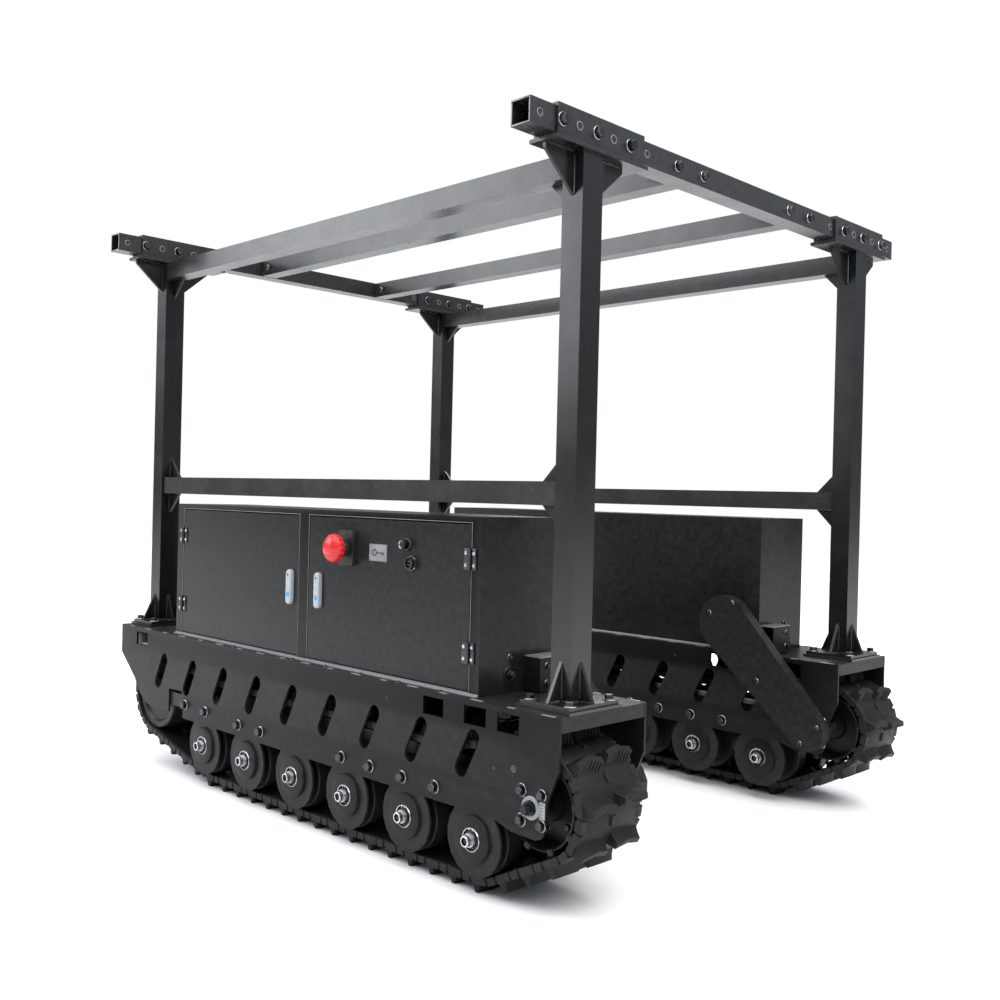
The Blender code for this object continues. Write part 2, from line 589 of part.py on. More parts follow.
# ---------------------------------------------------------------- footprint centre
# everything above is laid out from the middle of the post frame; the origin is
# moved to the middle of the overall length
FRAME_X = -0.04713
for _o in bpy.data.objects:
    if _o.parent is None:
        _o.location.x += FRAME_X
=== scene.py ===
"""Looks for the twin-unit crawler gantry: detailed pieces and node materials on
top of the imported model."""
import math
import random

import bmesh
import bpy
from mathutils import Matrix, Vector


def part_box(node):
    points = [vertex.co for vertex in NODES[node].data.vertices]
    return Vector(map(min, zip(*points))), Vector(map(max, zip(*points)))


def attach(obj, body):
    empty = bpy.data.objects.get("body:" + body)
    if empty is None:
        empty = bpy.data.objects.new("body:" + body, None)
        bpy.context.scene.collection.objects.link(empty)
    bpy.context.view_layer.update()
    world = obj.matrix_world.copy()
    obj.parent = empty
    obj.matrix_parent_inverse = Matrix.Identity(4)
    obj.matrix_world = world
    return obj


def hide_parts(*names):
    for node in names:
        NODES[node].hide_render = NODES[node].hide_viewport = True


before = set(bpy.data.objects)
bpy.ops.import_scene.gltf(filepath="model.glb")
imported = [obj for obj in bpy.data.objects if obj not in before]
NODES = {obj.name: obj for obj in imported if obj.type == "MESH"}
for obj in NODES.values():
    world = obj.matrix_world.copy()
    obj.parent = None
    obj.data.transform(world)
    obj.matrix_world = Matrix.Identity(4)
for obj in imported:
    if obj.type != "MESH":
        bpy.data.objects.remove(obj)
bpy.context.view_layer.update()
RNG = random.Random(7)

# ------------------------------------------------------------------ anchors
_c0, _c1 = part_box("right_cabinet")
FX = _c0[0] + 0.612                       # the layout is written from the middle of the post frame
CAB_X0, CAB_X1 = -0.612, 0.672
CAB_OUT, CAB_IN, CAB_TOP = 0.667, 0.437, _c1[2]
DECK_Z = 0.409
OUT, INN = 0.692, 0.418
WHEEL_R, WHEEL_Z, WHEEL_X0, WHEEL_PITCH = 0.0805, 0.121, -0.3935, 0.2175
DRIVE = (0.856, 0.222, 0.1010)
IDLER = (-0.710, 0.222, 0.1070)
BELT_IN, BELT_OUT, BELT_T, BELT_GAP = 0.488, 0.678, 0.018, 0.0008
LUG_H = WHEEL_Z - WHEEL_R - BELT_GAP - BELT_T
POST_X, POST_Y, POST_WX, POST_WY = 0.853, 0.580, 0.055, 0.062
TUBE_Z = 1.578
SLEEVE = 0.064
WHEELS = [WHEEL_X0 + i * WHEEL_PITCH for i in range(6)]
SLOT_X = [-0.649 + 0.1646 * i for i in range(9)]


# ------------------------------------------------------------------ materials
def nodes_of(name):
    m = bpy.data.materials.new(name)
    m.use_nodes = True
    nt = m.node_tree
    return m, nt, nt.nodes["Principled BSDF"]


def noise(nt, scale, detail=4.0, rough=0.55, co=None, dist=0.0):
    n = nt.nodes.new("ShaderNodeTexNoise")
    n.inputs["Scale"].default_value = scale
    n.inputs["Detail"].default_value = detail
    n.inputs["Roughness"].default_value = rough
    n.inputs["Distortion"].default_value = dist
    if co is not None:
        nt.links.new(co, n.inputs["Vector"])
    return n


def ramp(nt, src, stops):
    r = nt.nodes.new("ShaderNodeValToRGB")
    nt.links.new(src, r.inputs["Fac"])
    el = r.color_ramp.elements
    el[0].position, el[0].color = stops[0][0], stops[0][1]
    el[1].position, el[1].color = stops[-1][0], stops[-1][1]
    for p, c in stops[1:-1]:
        e = el.new(p)
        e.color = c
    return r


def g(v, a=1.0):
    return (v, v, v, a)


def coords(nt):
    return nt.nodes.new("ShaderNodeTexCoord").outputs["Object"]


def bump(nt, bsdf, src, strength, dist):
    b = nt.nodes.new("ShaderNodeBump")
    b.inputs["Strength"].default_value = strength
    b.inputs["Distance"].default_value = dist
    nt.links.new(src, b.inputs["Height"])
    nt.links.new(b.outputs["Normal"], bsdf.inputs["Normal"])
    return b


def mixc(nt, fac, a, b):
    m = nt.nodes.new("ShaderNodeMix")
    m.data_type = 'RGBA'
    nt.links.new(fac, m.inputs["Factor"])
    for sock, v in ((m.inputs["A"], a), (m.inputs["B"], b)):
        if isinstance(v, tuple):
            sock.default_value = v
        else:
            nt.links.new(v, sock)
    return m.outputs["Result"]


def edge_wear(nt, co, base, wear, amount=0.5):
    """Lighter, slightly worn colour on exposed edges."""
    geo = nt.nodes.new("ShaderNodeNewGeometry")
    r = ramp(nt, geo.outputs["Pointiness"], [(0.52, g(0)), (0.60, g(1))])
    n = noise(nt, 60.0, 5.0, 0.6, co)
    mul = nt.nodes.new("ShaderNodeMath")
    mul.operation = 'MULTIPLY'
    nt.links.new(r.outputs["Color"], mul.inputs[0])
    nt.links.new(n.outputs["Fac"], mul.inputs[1])
    m2 = nt.nodes.new("ShaderNodeMath")
    m2.operation = 'MULTIPLY'
    nt.links.new(mul.outputs[0], m2.inputs[0])
    m2.inputs[1].default_value = amount
    return mixc(nt, m2.outputs[0], base, wear)


def powder(name, tone, rough, dust=0.10, tint=(1.0, 1.0, 1.0), spec=0.24, wear=0.05, painted_sheen=False):
    """Satin black powder coat: orange peel, faint clouding, dust near the ground."""
    m, nt, b = nodes_of(name)
    co = coords(nt)
    big = noise(nt, 2.3, 3.0, 0.5, co)
    c = ramp(nt, big.outputs["Fac"], [
        (0.30, (tone * 0.86 * tint[0], tone * 0.88 * tint[1], tone * 0.92 * tint[2], 1)),
        (0.70, (tone * 1.16 * tint[0], tone * 1.16 * tint[1], tone * 1.16 * tint[2], 1))])
    tonec = c.outputs["Color"]
    if painted_sheen:
        # painted sheen: lighter, browner colour toward the rear upper corner, standing in for the reflection on the
        # semi-gloss cabinet
        se = nt.nodes.new("ShaderNodeSeparateXYZ")
        nt.links.new(co, se.inputs[0])
        fx = nt.nodes.new("ShaderNodeMapRange")
        nt.links.new(se.outputs["X"], fx.inputs["Value"])
        fx.inputs["From Min"].default_value = 0.10
        fx.inputs["From Max"].default_value = -0.72
        fz = nt.nodes.new("ShaderNodeMapRange")
        nt.links.new(se.outputs["Z"], fz.inputs["Value"])
        fz.inputs["From Min"].default_value = 0.42
        fz.inputs["From Max"].default_value = 0.80
        fz.inputs["To Min"].default_value = 0.45
        fm = nt.nodes.new("ShaderNodeMath")
        fm.operation = 'MULTIPLY'
        nt.links.new(fx.outputs["Result"], fm.inputs[0])
        nt.links.new(fz.outputs["Result"], fm.inputs[1])
        tonec = mixc(nt, fm.outputs[0], tonec, (0.040, 0.036, 0.032, 1))
    worn = edge_wear(nt, co, tonec, (wear, wear * 1.04, wear * 1.08, 1), 0.6)
    # settled dust
    sep = nt.nodes.new("ShaderNodeSeparateXYZ")
    nt.links.new(co, sep.inputs[0])
    mr = nt.nodes.new("ShaderNodeMapRange")
    nt.links.new(sep.outputs["Z"], mr.inputs["Value"])
    mr.inputs["From Min"].default_value = 0.42
    mr.inputs["From Max"].default_value = 0.02
    mr.inputs["To Min"].default_value = 0.0
    mr.inputs["To Max"].default_value = dust
    dn = noise(nt, 26.0, 6.0, 0.65, co)
    dm = nt.nodes.new("ShaderNodeMath")
    dm.operation = 'MULTIPLY'
    nt.links.new(mr.outputs["Result"], dm.inputs[0])
    nt.links.new(dn.outputs["Fac"], dm.inputs[1])
    col = mixc(nt, dm.outputs[0], worn, (0.10, 0.094, 0.085, 1))
    nt.links.new(col, b.inputs["Base Color"])
    rn = noise(nt, 11.0, 5.0, 0.6, co)
    rr = ramp(nt, rn.outputs["Fac"], [(0.25, g(rough - 0.05)), (0.75, g(rough + 0.07))])
    nt.links.new(rr.outputs["Color"], b.inputs["Roughness"])
    b.inputs["Metallic"].default_value = 0.0
    b.inputs["Specular IOR Level"].default_value = spec
    b.inputs["Coat Weight"].default_value = 0.06
    b.inputs["Coat Roughness"].default_value = 0.28
    peel = noise(nt, 620.0, 2.0, 0.5, co)
    bump(nt, b, peel.outputs["Fac"], 0.05, 0.0004)
    return m


def rubber(name, tone=0.0062):
    m, nt, b = nodes_of(name)
    co = coords(nt)
    n = noise(nt, 9.0, 6.0, 0.65, co)
    c = ramp(nt, n.outputs["Fac"], [(0.30, (tone * 0.8, tone * 0.85, tone * 0.9, 1)), (0.72, (tone * 1.6, tone * 1.62, tone * 1.6, 1))])
    worn = edge_wear(nt, co, c.outputs["Color"], (0.035, 0.037, 0.037, 1), 0.8)
    nt.links.new(worn, b.inputs["Base Color"])
    r2 = noise(nt, 45.0, 4.0, 0.6, co)
    rr = ramp(nt, r2.outputs["Fac"], [(0.25, g(0.40)), (0.8, g(0.62))])
    nt.links.new(rr.outputs["Color"], b.inputs["Roughness"])
    b.inputs["Specular IOR Level"].default_value = 0.18
    fine = noise(nt, 380.0, 5.0, 0.7, co)
    bump(nt, b, fine.outputs["Fac"], 0.28, 0.0012)
    return m


def metal(name, col, rough, brushed=0.25, dirt=0.35):
    m, nt, b = nodes_of(name)
    co = coords(nt)
    n = noise(nt, 30.0, 5.0, 0.6, co)
    c = ramp(nt, n.outputs["Fac"], [(0.25, (col[0] * (1 - dirt), col[1] * (1 - dirt), col[2] * (1 - dirt), 1)), (0.62, (col[0], col[1], col[2], 1))])
    nt.links.new(c.outputs["Color"], b.inputs["Base Color"])
    b.inputs["Metallic"].default_value = 1.0
    n2 = noise(nt, 90.0, 3.0, 0.6, co)
    rr = ramp(nt, n2.outputs["Fac"], [(0.2, g(rough - 0.08)), (0.8, g(rough + 0.12))])
    nt.links.new(rr.outputs["Color"], b.inputs["Roughness"])
    w = nt.nodes.new("ShaderNodeTexWave")
    w.inputs["Scale"].default_value = 260.0
    w.inputs["Distortion"].default_value = 6.0
    nt.links.new(co, w.inputs["Vector"])
    bump(nt, b, w.outputs["Fac"], brushed * 0.3, 0.0003)
    return m


def plastic(name, col, rough, spec=0.5, fleck=0.12, bumpv=0.06):
    m, nt, b = nodes_of(name)
    co = coords(nt)
    n = noise(nt, 40.0, 5.0, 0.6, co)
    lo = tuple(v * (1 - fleck) for v in col) + (1,)
    hi = tuple(min(1.0, v * (1 + fleck)) for v in col) + (1,)
    c = ramp(nt, n.outputs["Fac"], [(0.3, lo), (0.7, hi)])
    nt.links.new(c.outputs["Color"], b.inputs["Base Color"])
    rr = ramp(nt, noise(nt, 70.0, 4.0, 0.6, co).outputs["Fac"], [(0.25, g(max(0.03, rough - 0.05))), (0.8, g(rough + 0.08))])
    nt.links.new(rr.outputs["Color"], b.inputs["Roughness"])
    b.inputs["Specular IOR Level"].default_value = spec
    bump(nt, b, noise(nt, 500.0, 3.0, 0.6, co).outputs["Fac"], bumpv, 0.0005)
    return m


PAINT = powder("powder_black", 0.0030, 0.33, 0.04, spec=0.10)
# the cabinet paint carries a painted sheen toward its rear upper corner
PAINT_CAB = powder("powder_cabinet", 0.0024, 0.20, 0.0, spec=0.13, painted_sheen=True)
PAINT_HI = powder("powder_posts", 0.0060, 0.25, 0.02, tint=(0.95, 1.03, 1.06), spec=0.50)
# bright edge paint: a painted highlight, a lighter and glossier copy of the black powder coat standing in for sky
# reflection on edges, lips, rims and frame lines
PAINT_EDGE_HIGHLIGHT = powder("powder_edge_highlight", 0.16, 0.22, 0.0, spec=0.6, wear=0.3)
WHEEL_M = powder("wheel_coat", 0.0045, 0.36, 0.05, tint=(0.96, 1.0, 1.06), spec=0.16)
RUB = rubber("track_rubber")
# lighter copy of the belt rubber for the lug ribs: a painted highlight on the raised ribs
RUB_RIB_HIGHLIGHT = rubber("track_rib_highlight", 0.030)
STEEL = metal("bright_steel", (0.62, 0.62, 0.63), 0.24)
ZINC = metal("zinc_washer", (0.42, 0.43, 0.44), 0.30, 0.15, 0.25)
PALE = plastic("blasted_alloy", (0.30, 0.31, 0.31), 0.48, 0.5, 0.18, 0.3)
BOLT = metal("dark_bolt", (0.075, 0.078, 0.083), 0.32, 0.1, 0.4)
BLACKOX = metal("black_oxide", (0.045, 0.047, 0.052), 0.36, 0.1, 0.3)
HINGE = metal("hinge_steel", (0.085, 0.085, 0.09), 0.32, 0.2, 0.35)
SILVER = plastic("handle_silver", (0.38, 0.40, 0.43), 0.26, 0.5, 0.05, 0.02)
BLUE = plastic("button_blue", (0.045, 0.30, 0.62), 0.30, 0.5, 0.10, 0.02)
REDP = plastic("stop_red", (0.62, 0.018, 0.022), 0.27, 0.5, 0.10, 0.02)
BLK = plastic("black_plastic", (0.012, 0.012, 0.013), 0.42, 0.45)
GREY = plastic("label_grey", (0.16, 0.165, 0.17), 0.42, 0.45)
LABEL = plastic("label_pale", (0.20, 0.205, 0.205), 0.40, 0.5)
MOTORM = metal("motor_body", (0.17, 0.175, 0.18), 0.42, 0.3, 0.3)
YEL = plastic("sticker_yellow", (0.62, 0.42, 0.03), 0.45, 0.4)
BATT = plastic("battery_case", (0.020, 0.021, 0.024), 0.48, 0.45)
WELD = metal("weld_bead", (0.10, 0.10, 0.105), 0.40, 0.2, 0.45)


# ------------------------------------------------------------------ mesh building
class Piece:
    """Collects shapes in one mesh with several materials."""

    def __init__(self, name, side=1):
        self.name = name
        self.bm = bmesh.new()
        self.mats = []
        self.side = side

    def mi(self, m):
        if m not in self.mats:
            self.mats.append(m)
        return self.mats.index(m)

    def _tag(self, faces, m, smooth=False):
        k = self.mi(m)
        for f in faces:
            f.material_index = k
            f.smooth = smooth

    def box(self, c, s, m, bevel=0.0, rot=None, seg=2):
        r = bmesh.ops.create_cube(self.bm, size=1.0)
        vs = r["verts"]
        bmesh.ops.scale(self.bm, verts=vs, vec=s)
        if bevel > 0:
            ed = list({e for v in vs for e in v.link_edges})
            b = bmesh.ops.bevel(self.bm, geom=ed, offset=bevel, segments=seg, profile=0.5, affect='EDGES', clamp_overlap=True)
            vs = list({v for f in b["faces"] for v in f.verts} | {v for v in vs if v.is_valid})
        if rot is not None:
            bmesh.ops.rotate(self.bm, verts=vs, cent=(0, 0, 0), matrix=rot)
        bmesh.ops.translate(self.bm, verts=vs, vec=c)
        fs = {f for v in vs for f in v.link_faces}
        self._tag(fs, m, bevel > 0)
        return vs

    def turn(self, prof, c, axis, m, seg=32, smooth=True, mats=None):
        """Profile [(r, h)] turned about axis through c; mats gives one material per span."""
        ax = Vector(axis).normalized()
        up = Vector((0, 0, 1)) if abs(ax.z) < 0.9 else Vector((1, 0, 0))
        u = ax.cross(up).normalized()
        v = ax.cross(u).normalized()
        c = Vector(c)
        rings = []
        for r, h in prof:
            if r < 1e-6:
                rings.append([self.bm.verts.new(c + ax * h)])
            else:
                rings.append([self.bm.verts.new(c + ax * h + (u * math.cos(math.tau * k / seg) + v * math.sin(math.tau * k / seg)) * r) for k in range(seg)])
        for i in range(len(rings) - 1):
            a, b = rings[i], rings[i + 1]
            mm = mats[i] if mats else m
            new = []
            for k in range(seg):
                j = (k + 1) % seg
                if len(a) == 1 and len(b) == 1:
                    continue
                if len(a) == 1:
                    new.append(self.bm.faces.new((a[0], b[k], b[j])))
                elif len(b) == 1:
                    new.append(self.bm.faces.new((a[k], b[0], a[j])))
                else:
                    new.append(self.bm.faces.new((a[k], b[k], b[j], a[j])))
            self._tag(new, mm, smooth)
        return rings

    def prism(self, pts, d, m, smooth=False):
        """Closed outline of 3-D points pushed along d."""
        vs = [self.bm.verts.new(p) for p in pts]
        f = self.bm.faces.new(vs)
        r = bmesh.ops.extrude_face_region(self.bm, geom=[f])
        nv = [e for e in r["geom"] if isinstance(e, bmesh.types.BMVert)]
        bmesh.ops.translate(self.bm, verts=nv, vec=d)
        fs = {x for v in vs + nv for x in v.link_faces}
        self._tag(fs, m, smooth)
        return vs + nv

    def hexbolt(self, p, n, af, h, m, washer=None, wm=None, wt=0.0022, socket=False, nut=0.0):
        """Bolt head with chamfer on a washer, standing on p along n."""
        n = Vector(n).normalized()
        p = Vector(p)
        base = 0.0
        if washer:
            # zinc on the washer's rim and chamfer around its darker top face: the bright rim is a painted highlight
            self.turn([(washer * 0.45, 0.0), (washer, 0.0), (washer, wt * 0.6), (washer * 0.93, wt), (washer * 0.45, wt)], p, n, wm or BLACKOX, 24, True, [BLACKOX, ZINC, ZINC, wm or BLACKOX])
            base = wt
        up = Vector((0, 0, 1)) if abs(n.z) < 0.9 else Vector((1, 0, 0))
        u = n.cross(up).normalized()
        v = n.cross(u).normalized()
        a0 = RNG.uniform(0, math.tau / 6)
        R = af / math.sqrt(3)
        rings = []
        for r, z in ((R, base), (R, base + h * 0.82), (R * 0.86, base + h)):
            rings.append([self.bm.verts.new(p + n * z + (u * math.cos(a0 + math.tau * k / 6) + v * math.sin(a0 + math.tau * k / 6)) * r) for k in range(6)])
        fs = []
        for i in range(2):
            for k in range(6):
                j = (k + 1) % 6
                fs.append(self.bm.faces.new((rings[i][k], rings[i + 1][k], rings[i + 1][j], rings[i][j])))
        fs.append(self.bm.faces.new(rings[2]))
        self._tag(fs, m)
        if nut > 0:
            self.turn([(R * 0.52, base + h - 0.001), (R * 0.52, base + h + nut * 0.8), (R * 0.40, base + h + nut), (0, base + h + nut)], p, n, m, 14)

    def weld(self, a, b, r, n=None, m=None):
        """Row of overlapping scale-shaped beads from a to b."""
        a, b = Vector(a), Vector(b)
        L = (b - a).length
        n = n or max(3, int(L / (r * 1.1)))
        for i in range(n):
            t = (i + 0.5) / n
            c = a.lerp(b, t)
            k = bmesh.ops.create_icosphere(self.bm, subdivisions=1, radius=r * RNG.uniform(0.85, 1.1))
            vs = k["verts"]
            bmesh.ops.translate(self.bm, verts=vs, vec=c)
            self._tag({f for v in vs for f in v.link_faces}, m or WELD, True)

    def tube(self, pts, r, m, seg=10):
        """Round bar through points."""
        prev = None
        for i, p in enumerate(pts):
            p = Vector(p)
            if i == 0:
                d = Vector(pts[1]) - p
            elif i == len(pts) - 1:
                d = p - Vector(pts[i - 1])
            else:
                d = Vector(pts[i + 1]) - Vector(pts[i - 1])
            d.normalize()
            up = Vector((0, 0, 1)) if abs(d.z) < 0.9 else Vector((1, 0, 0))
            u = d.cross(up).normalized()
            v = d.cross(u).normalized()
            ring = [self.bm.verts.new(p + (u * math.cos(math.tau * k / seg) + v * math.sin(math.tau * k / seg)) * r) for k in range(seg)]
            if prev:
                fs = [self.bm.faces.new((prev[k], ring[k], ring[(k + 1) % seg], prev[(k + 1) % seg])) for k in range(seg)]
                self._tag(fs, m, True)
            else:
                self._tag([self.bm.faces.new(ring)], m)
            prev = ring
        self._tag([self.bm.faces.new(prev)], m)

    def done(self, body, replaces=(), sharp=32.0, bevel=0.0):
        bmesh.ops.recalc_face_normals(self.bm, faces=self.bm.faces)
        me = bpy.data.meshes.new(self.name)
        self.bm.to_mesh(me)
        self.bm.free()
        for m in self.mats:
            me.materials.append(m)
        me.set_sharp_from_angle(angle=math.radians(sharp))
        ob = bpy.data.objects.new(self.name, me)
        bpy.context.scene.collection.objects.link(ob)
        if bevel > 0:
            b = ob.modifiers.new("edge", 'BEVEL')
            b.width = bevel
            b.segments = 2
            b.limit_method = 'ANGLE'
            b.angle_limit = math.radians(40)
            b.harden_normals = False
        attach(ob, body)
        for r in replaces:
            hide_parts(r)
        return ob


def P(x, y, z):
    return (x + FX, y, z)


# ------------------------------------------------------------------ CAD finishes
def dress(node, mat, bevel=0.0012, seg=2):
    ob = NODES[node]
    ob.data.materials.clear()
    ob.data.materials.append(mat)
    for p in ob.data.polygons:
        p.material_index = 0
    if bevel:
        b = ob.modifiers.new("edge", 'BEVEL')
        b.width = bevel
        b.segments = seg
        b.limit_method = 'ANGLE'
        b.angle_limit = math.radians(40)


for t in ("right", "left"):
    for n in ("outer_plate", "inner_plate", "deck"):
        dress(t + "_" + n, PAINT, 0.0010)
    dress(t + "_chain_guard", PAINT, 0.0012)
    for n in ("post_front", "post_rear", "top_rail", "mid_rail"):
        dress(t + "_" + n, PAINT_HI, 0.0016 if "rail" in n else 0.0012)
    dress(t + "_cabinet", PAINT_CAB, 0.0014)
    for n in ("door_rear", "door_front"):
        dress(t + "_" + n, PAINT_CAB, 0.0014)
    dress(t + "_axle_beam", WHEEL_M, 0.001)
    dress(t + "_idler_fork", PAINT, 0.0008)
    dress(t + "_battery", BATT, 0.0)
for n in ("front_cross_tube", "rear_cross_tube", "deck_rail_right", "deck_rail_left"):
    dress(n, PAINT_HI, 0.0016)


# ------------------------------------------------------------------ belt
def arc(cx, cz, r, a0, a1, n):
    return [(cx + r * math.cos(math.radians(a0 + (a1 - a0) * i / n)), cz + r * math.sin(math.radians(a0 + (a1 - a0) * i / n))) for i in range(n + 1)]


def belt_path(off):
    I, ri = (IDLER[0], IDLER[1]), IDLER[2] + BELT_GAP + off
    A, B = (WHEEL_X0, WHEEL_Z), (WHEEL_X0 + 5 * WHEEL_PITCH, WHEEL_Z)
    rw = WHEEL_R + BELT_GAP + off
    D, rd = (DRIVE[0], DRIVE[1]), DRIVE[2] + BELT_GAP + off

    def tan(c1, r1, c2, r2):
        dx, dz = c2[0] - c1[0], c2[1] - c1[1]
        return math.degrees(math.atan2(dz, dx) - math.acos((r1 - r2) / math.hypot(dx, dz)))
    a1, a2 = tan(I, ri, A, rw), tan(B, rw, D, rd)
    pts = arc(I[0], I[1], ri, 90, 360 + a1, 40)
    pts += arc(A[0], A[1], rw, a1, -90, 8)
    pts += arc(B[0], B[1], rw, -90, a2, 8)
    pts += arc(D[0], D[1], rd, a2, 90, 40)
    x0, z0, x1, z1 = D[0], D[1] + rd, I[0], I[1] + ri
    for i in range(1, 60):
        u = i / 60
        t = min(1.0, min(u, 1 - u) / 0.22)
        pts.append((x0 + (x1 - x0) * u, z0 + (z1 - z0) * u - 0.040 * t * t * (3 - 2 * t)))
    return pts


class Path:
    def __init__(self, pts):
        self.p = pts
        self.cum = [0.0]
        for i in range(len(pts)):
            a, b = pts[i], pts[(i + 1) % len(pts)]
            self.cum.append(self.cum[-1] + math.hypot(b[0] - a[0], b[1] - a[1]))
        self.L = self.cum[-1]
        n = len(pts)
        self.nrm = []
        for i in range(n):
            a, b = pts[(i - 1) % n], pts[(i + 1) % n]
            dx, dz = b[0] - a[0], b[1] - a[1]
            d = math.hypot(dx, dz) or 1e-9
            self.nrm.append((dz / d, -dx / d))

    def at(self, s):
        s %= self.L
        lo, hi = 0, len(self.p)
        while hi - lo > 1:
            mid = (lo + hi) // 2
            if self.cum[mid] <= s:
                lo = mid
            else:
                hi = mid
        i, j = lo, (lo + 1) % len(self.p)
        d = self.cum[lo + 1] - self.cum[lo]
        t = (s - self.cum[lo]) / d if d > 1e-9 else 0
        a, b = self.p[i], self.p[j]
        na, nb = self.nrm[i], self.nrm[j]
        nx, nz = na[0] * (1 - t) + nb[0] * t, na[1] * (1 - t) + nb[1] * t
        k = math.hypot(nx, nz) or 1e-9
        return a[0] + (b[0] - a[0]) * t, a[1] + (b[1] - a[1]) * t, nx / k, nz / k


def track(tag, side):
    pc = Piece(tag + "_rubber_track")
    path = Path(belt_path(0.0))
    n = int(round(path.L / 0.072))
    pitch = path.L / n
    W = BELT_OUT - BELT_IN
    mid = (BELT_OUT + BELT_IN) / 2

    def put(s, v, w):
        """s along the belt, v across from the middle (outboard +), w outward."""
        x, z, nx, nz = path.at(s)
        z2 = max(z + nz * w, 0.0)
        return (x + nx * w + FX, side * (mid + v), z2)

    def block(profile_uv, w0, w1, top_scale=1.0, m=RUB, taper=None):
        """Prism with an outline in (s, v) raised from w0 to w1."""
        cu = sum(p[0] for p in profile_uv) / len(profile_uv)
        cv = sum(p[1] for p in profile_uv) / len(profile_uv)
        lo = [pc.bm.verts.new(put(u, v, w0)) for u, v in profile_uv]
        hi = [pc.bm.verts.new(put(cu + (u - cu) * top_scale, cv + (v - cv) * (taper or top_scale), w1)) for u, v in profile_uv]
        k = len(lo)
        fs = [pc.bm.faces.new((lo[i], lo[(i + 1) % k], hi[(i + 1) % k], hi[i])) for i in range(k)]
        fs.append(pc.bm.faces.new(hi))
        fs.append(pc.bm.faces.new(lo[::-1]))
        pc._tag(fs, m)

    # carcass: continuous strip, edges stepped
    N = n * 6
    prof = [(-W / 2 + 0.006, 0.0), (W / 2 - 0.006, 0.0), (W / 2 - 0.002, 0.004), (W / 2 - 0.002, BELT_T - 0.005), (W / 2 - 0.010, BELT_T - 0.001),
            (-W / 2 + 0.010, BELT_T - 0.001), (-W / 2 + 0.002, BELT_T - 0.005), (-W / 2 + 0.002, 0.004)]
    rings = []
    for i in range(N):
        s = path.L * i / N
        rings.append([pc.bm.verts.new(put(s, v, w)) for v, w in prof])
    fs = []
    for i in range(N):
        a, b = rings[i], rings[(i + 1) % N]
        for k in range(len(prof)):
            j = (k + 1) % len(prof)
            fs.append(pc.bm.faces.new((a[k], b[k], b[j], a[j])))
    pc._tag(fs, RUB, True)
    for k in range(n):
        s0 = k * pitch
        # edge links, two per pitch with a narrow cut between them
        for e in (-1, 1):
            for o, ln in ((0.002, 0.040), (0.046, 0.022)):
                v0, v1 = e * (W / 2 - 0.016), e * (W / 2)
                block([(s0 + o, v0), (s0 + o + ln, v0), (s0 + o + ln, v1), (s0 + o, v1)], 0.0012, BELT_T, 0.96)
        # lugs: left and right wings, ribbed on the steep side
        for e, off in ((1, 0.0), (-1, pitch * 0.10)):
            b0 = s0 + off
            a = W / 2 - 0.006
            top = [(b0 + 0.004, e * 0.012), (b0 + 0.013, e * 0.012), (b0 + 0.019, e * 0.046), (b0 + 0.012, e * (a - 0.004)), (b0 + 0.003, e * (a - 0.004)), (b0 + 0.010, e * 0.046)]
            bot = [(b0 - 0.002, e * 0.006), (b0 + 0.025, e * 0.006), (b0 + 0.031, e * 0.046), (b0 + 0.024, e * a), (b0 - 0.003, e * a), (b0 + 0.004, e * 0.046)]
            if e < 0:
                top, bot = top[::-1], bot[::-1]
            lo = [pc.bm.verts.new(put(u, v, BELT_T - 0.003)) for u, v in bot]
            mi_ = [pc.bm.verts.new(put(u * 0.30 + q * 0.70, v * 0.30 + r * 0.70, BELT_T + LUG_H * 0.50)) for (u, v), (q, r) in zip(bot, top)]
            hi = [pc.bm.verts.new(put(u, v, BELT_T + LUG_H)) for u, v in top]
            fs = []
            for A_, B_ in ((lo, mi_), (mi_, hi)):
                fs += [pc.bm.faces.new((A_[q], A_[(q + 1) % 6], B_[(q + 1) % 6], B_[q])) for q in range(6)]
            fs.append(pc.bm.faces.new(hi))
            pc._tag(fs, RUB)
            # ribs in the lighter rib rubber: painted highlight along each raised rib
            for q in range(9):
                av = 0.014 + q * 0.0084
                v = e * av
                f = 1.0 - abs(av - 0.046) / 0.040
                ub = b0 - 0.003 + 0.007 * max(0.0, f)
                ut = b0 + 0.0035 + 0.0065 * max(0.0, f)
                lo = [pc.bm.verts.new(put(uu, vv, BELT_T - 0.001)) for uu, vv in ((ub - 0.0022, v - 0.0014), (ub - 0.0022, v + 0.0014), (ub + 0.006, v + 0.0014), (ub + 0.006, v - 0.0014))]
                hi = [pc.bm.verts.new(put(uu, vv, BELT_T + LUG_H - 0.0008)) for uu, vv in ((ut - 0.0018, v - 0.0012), (ut - 0.0018, v + 0.0012), (ut + 0.004, v + 0.0012), (ut + 0.004, v - 0.0012))]
                fs = [pc.bm.faces.new((lo[w], lo[(w + 1) % 4], hi[(w + 1) % 4], hi[w])) for w in range(4)] + [pc.bm.faces.new(hi)]
                pc._tag(fs, RUB_RIB_HIGHLIGHT)
        # inner guide horns between the wheel discs
        for e in (-1, 1):
            v0, v1 = e * 0.012, e * 0.030
            block([(s0 + 0.020, v0), (s0 + 0.052, v0), (s0 + 0.052, v1), (s0 + 0.020, v1)], 0.003, -0.014, 0.6, taper=0.75)
        # raised seam down the middle of the tread
        block([(s0 + 0.046, -0.007), (s0 + 0.066, -0.007), (s0 + 0.066, 0.007), (s0 + 0.046, 0.007)], BELT_T - 0.002, BELT_T + 0.004, 0.8)
    return pc.done(tag + "_unit", (tag + "_track_belt",), 30, 0.0012)


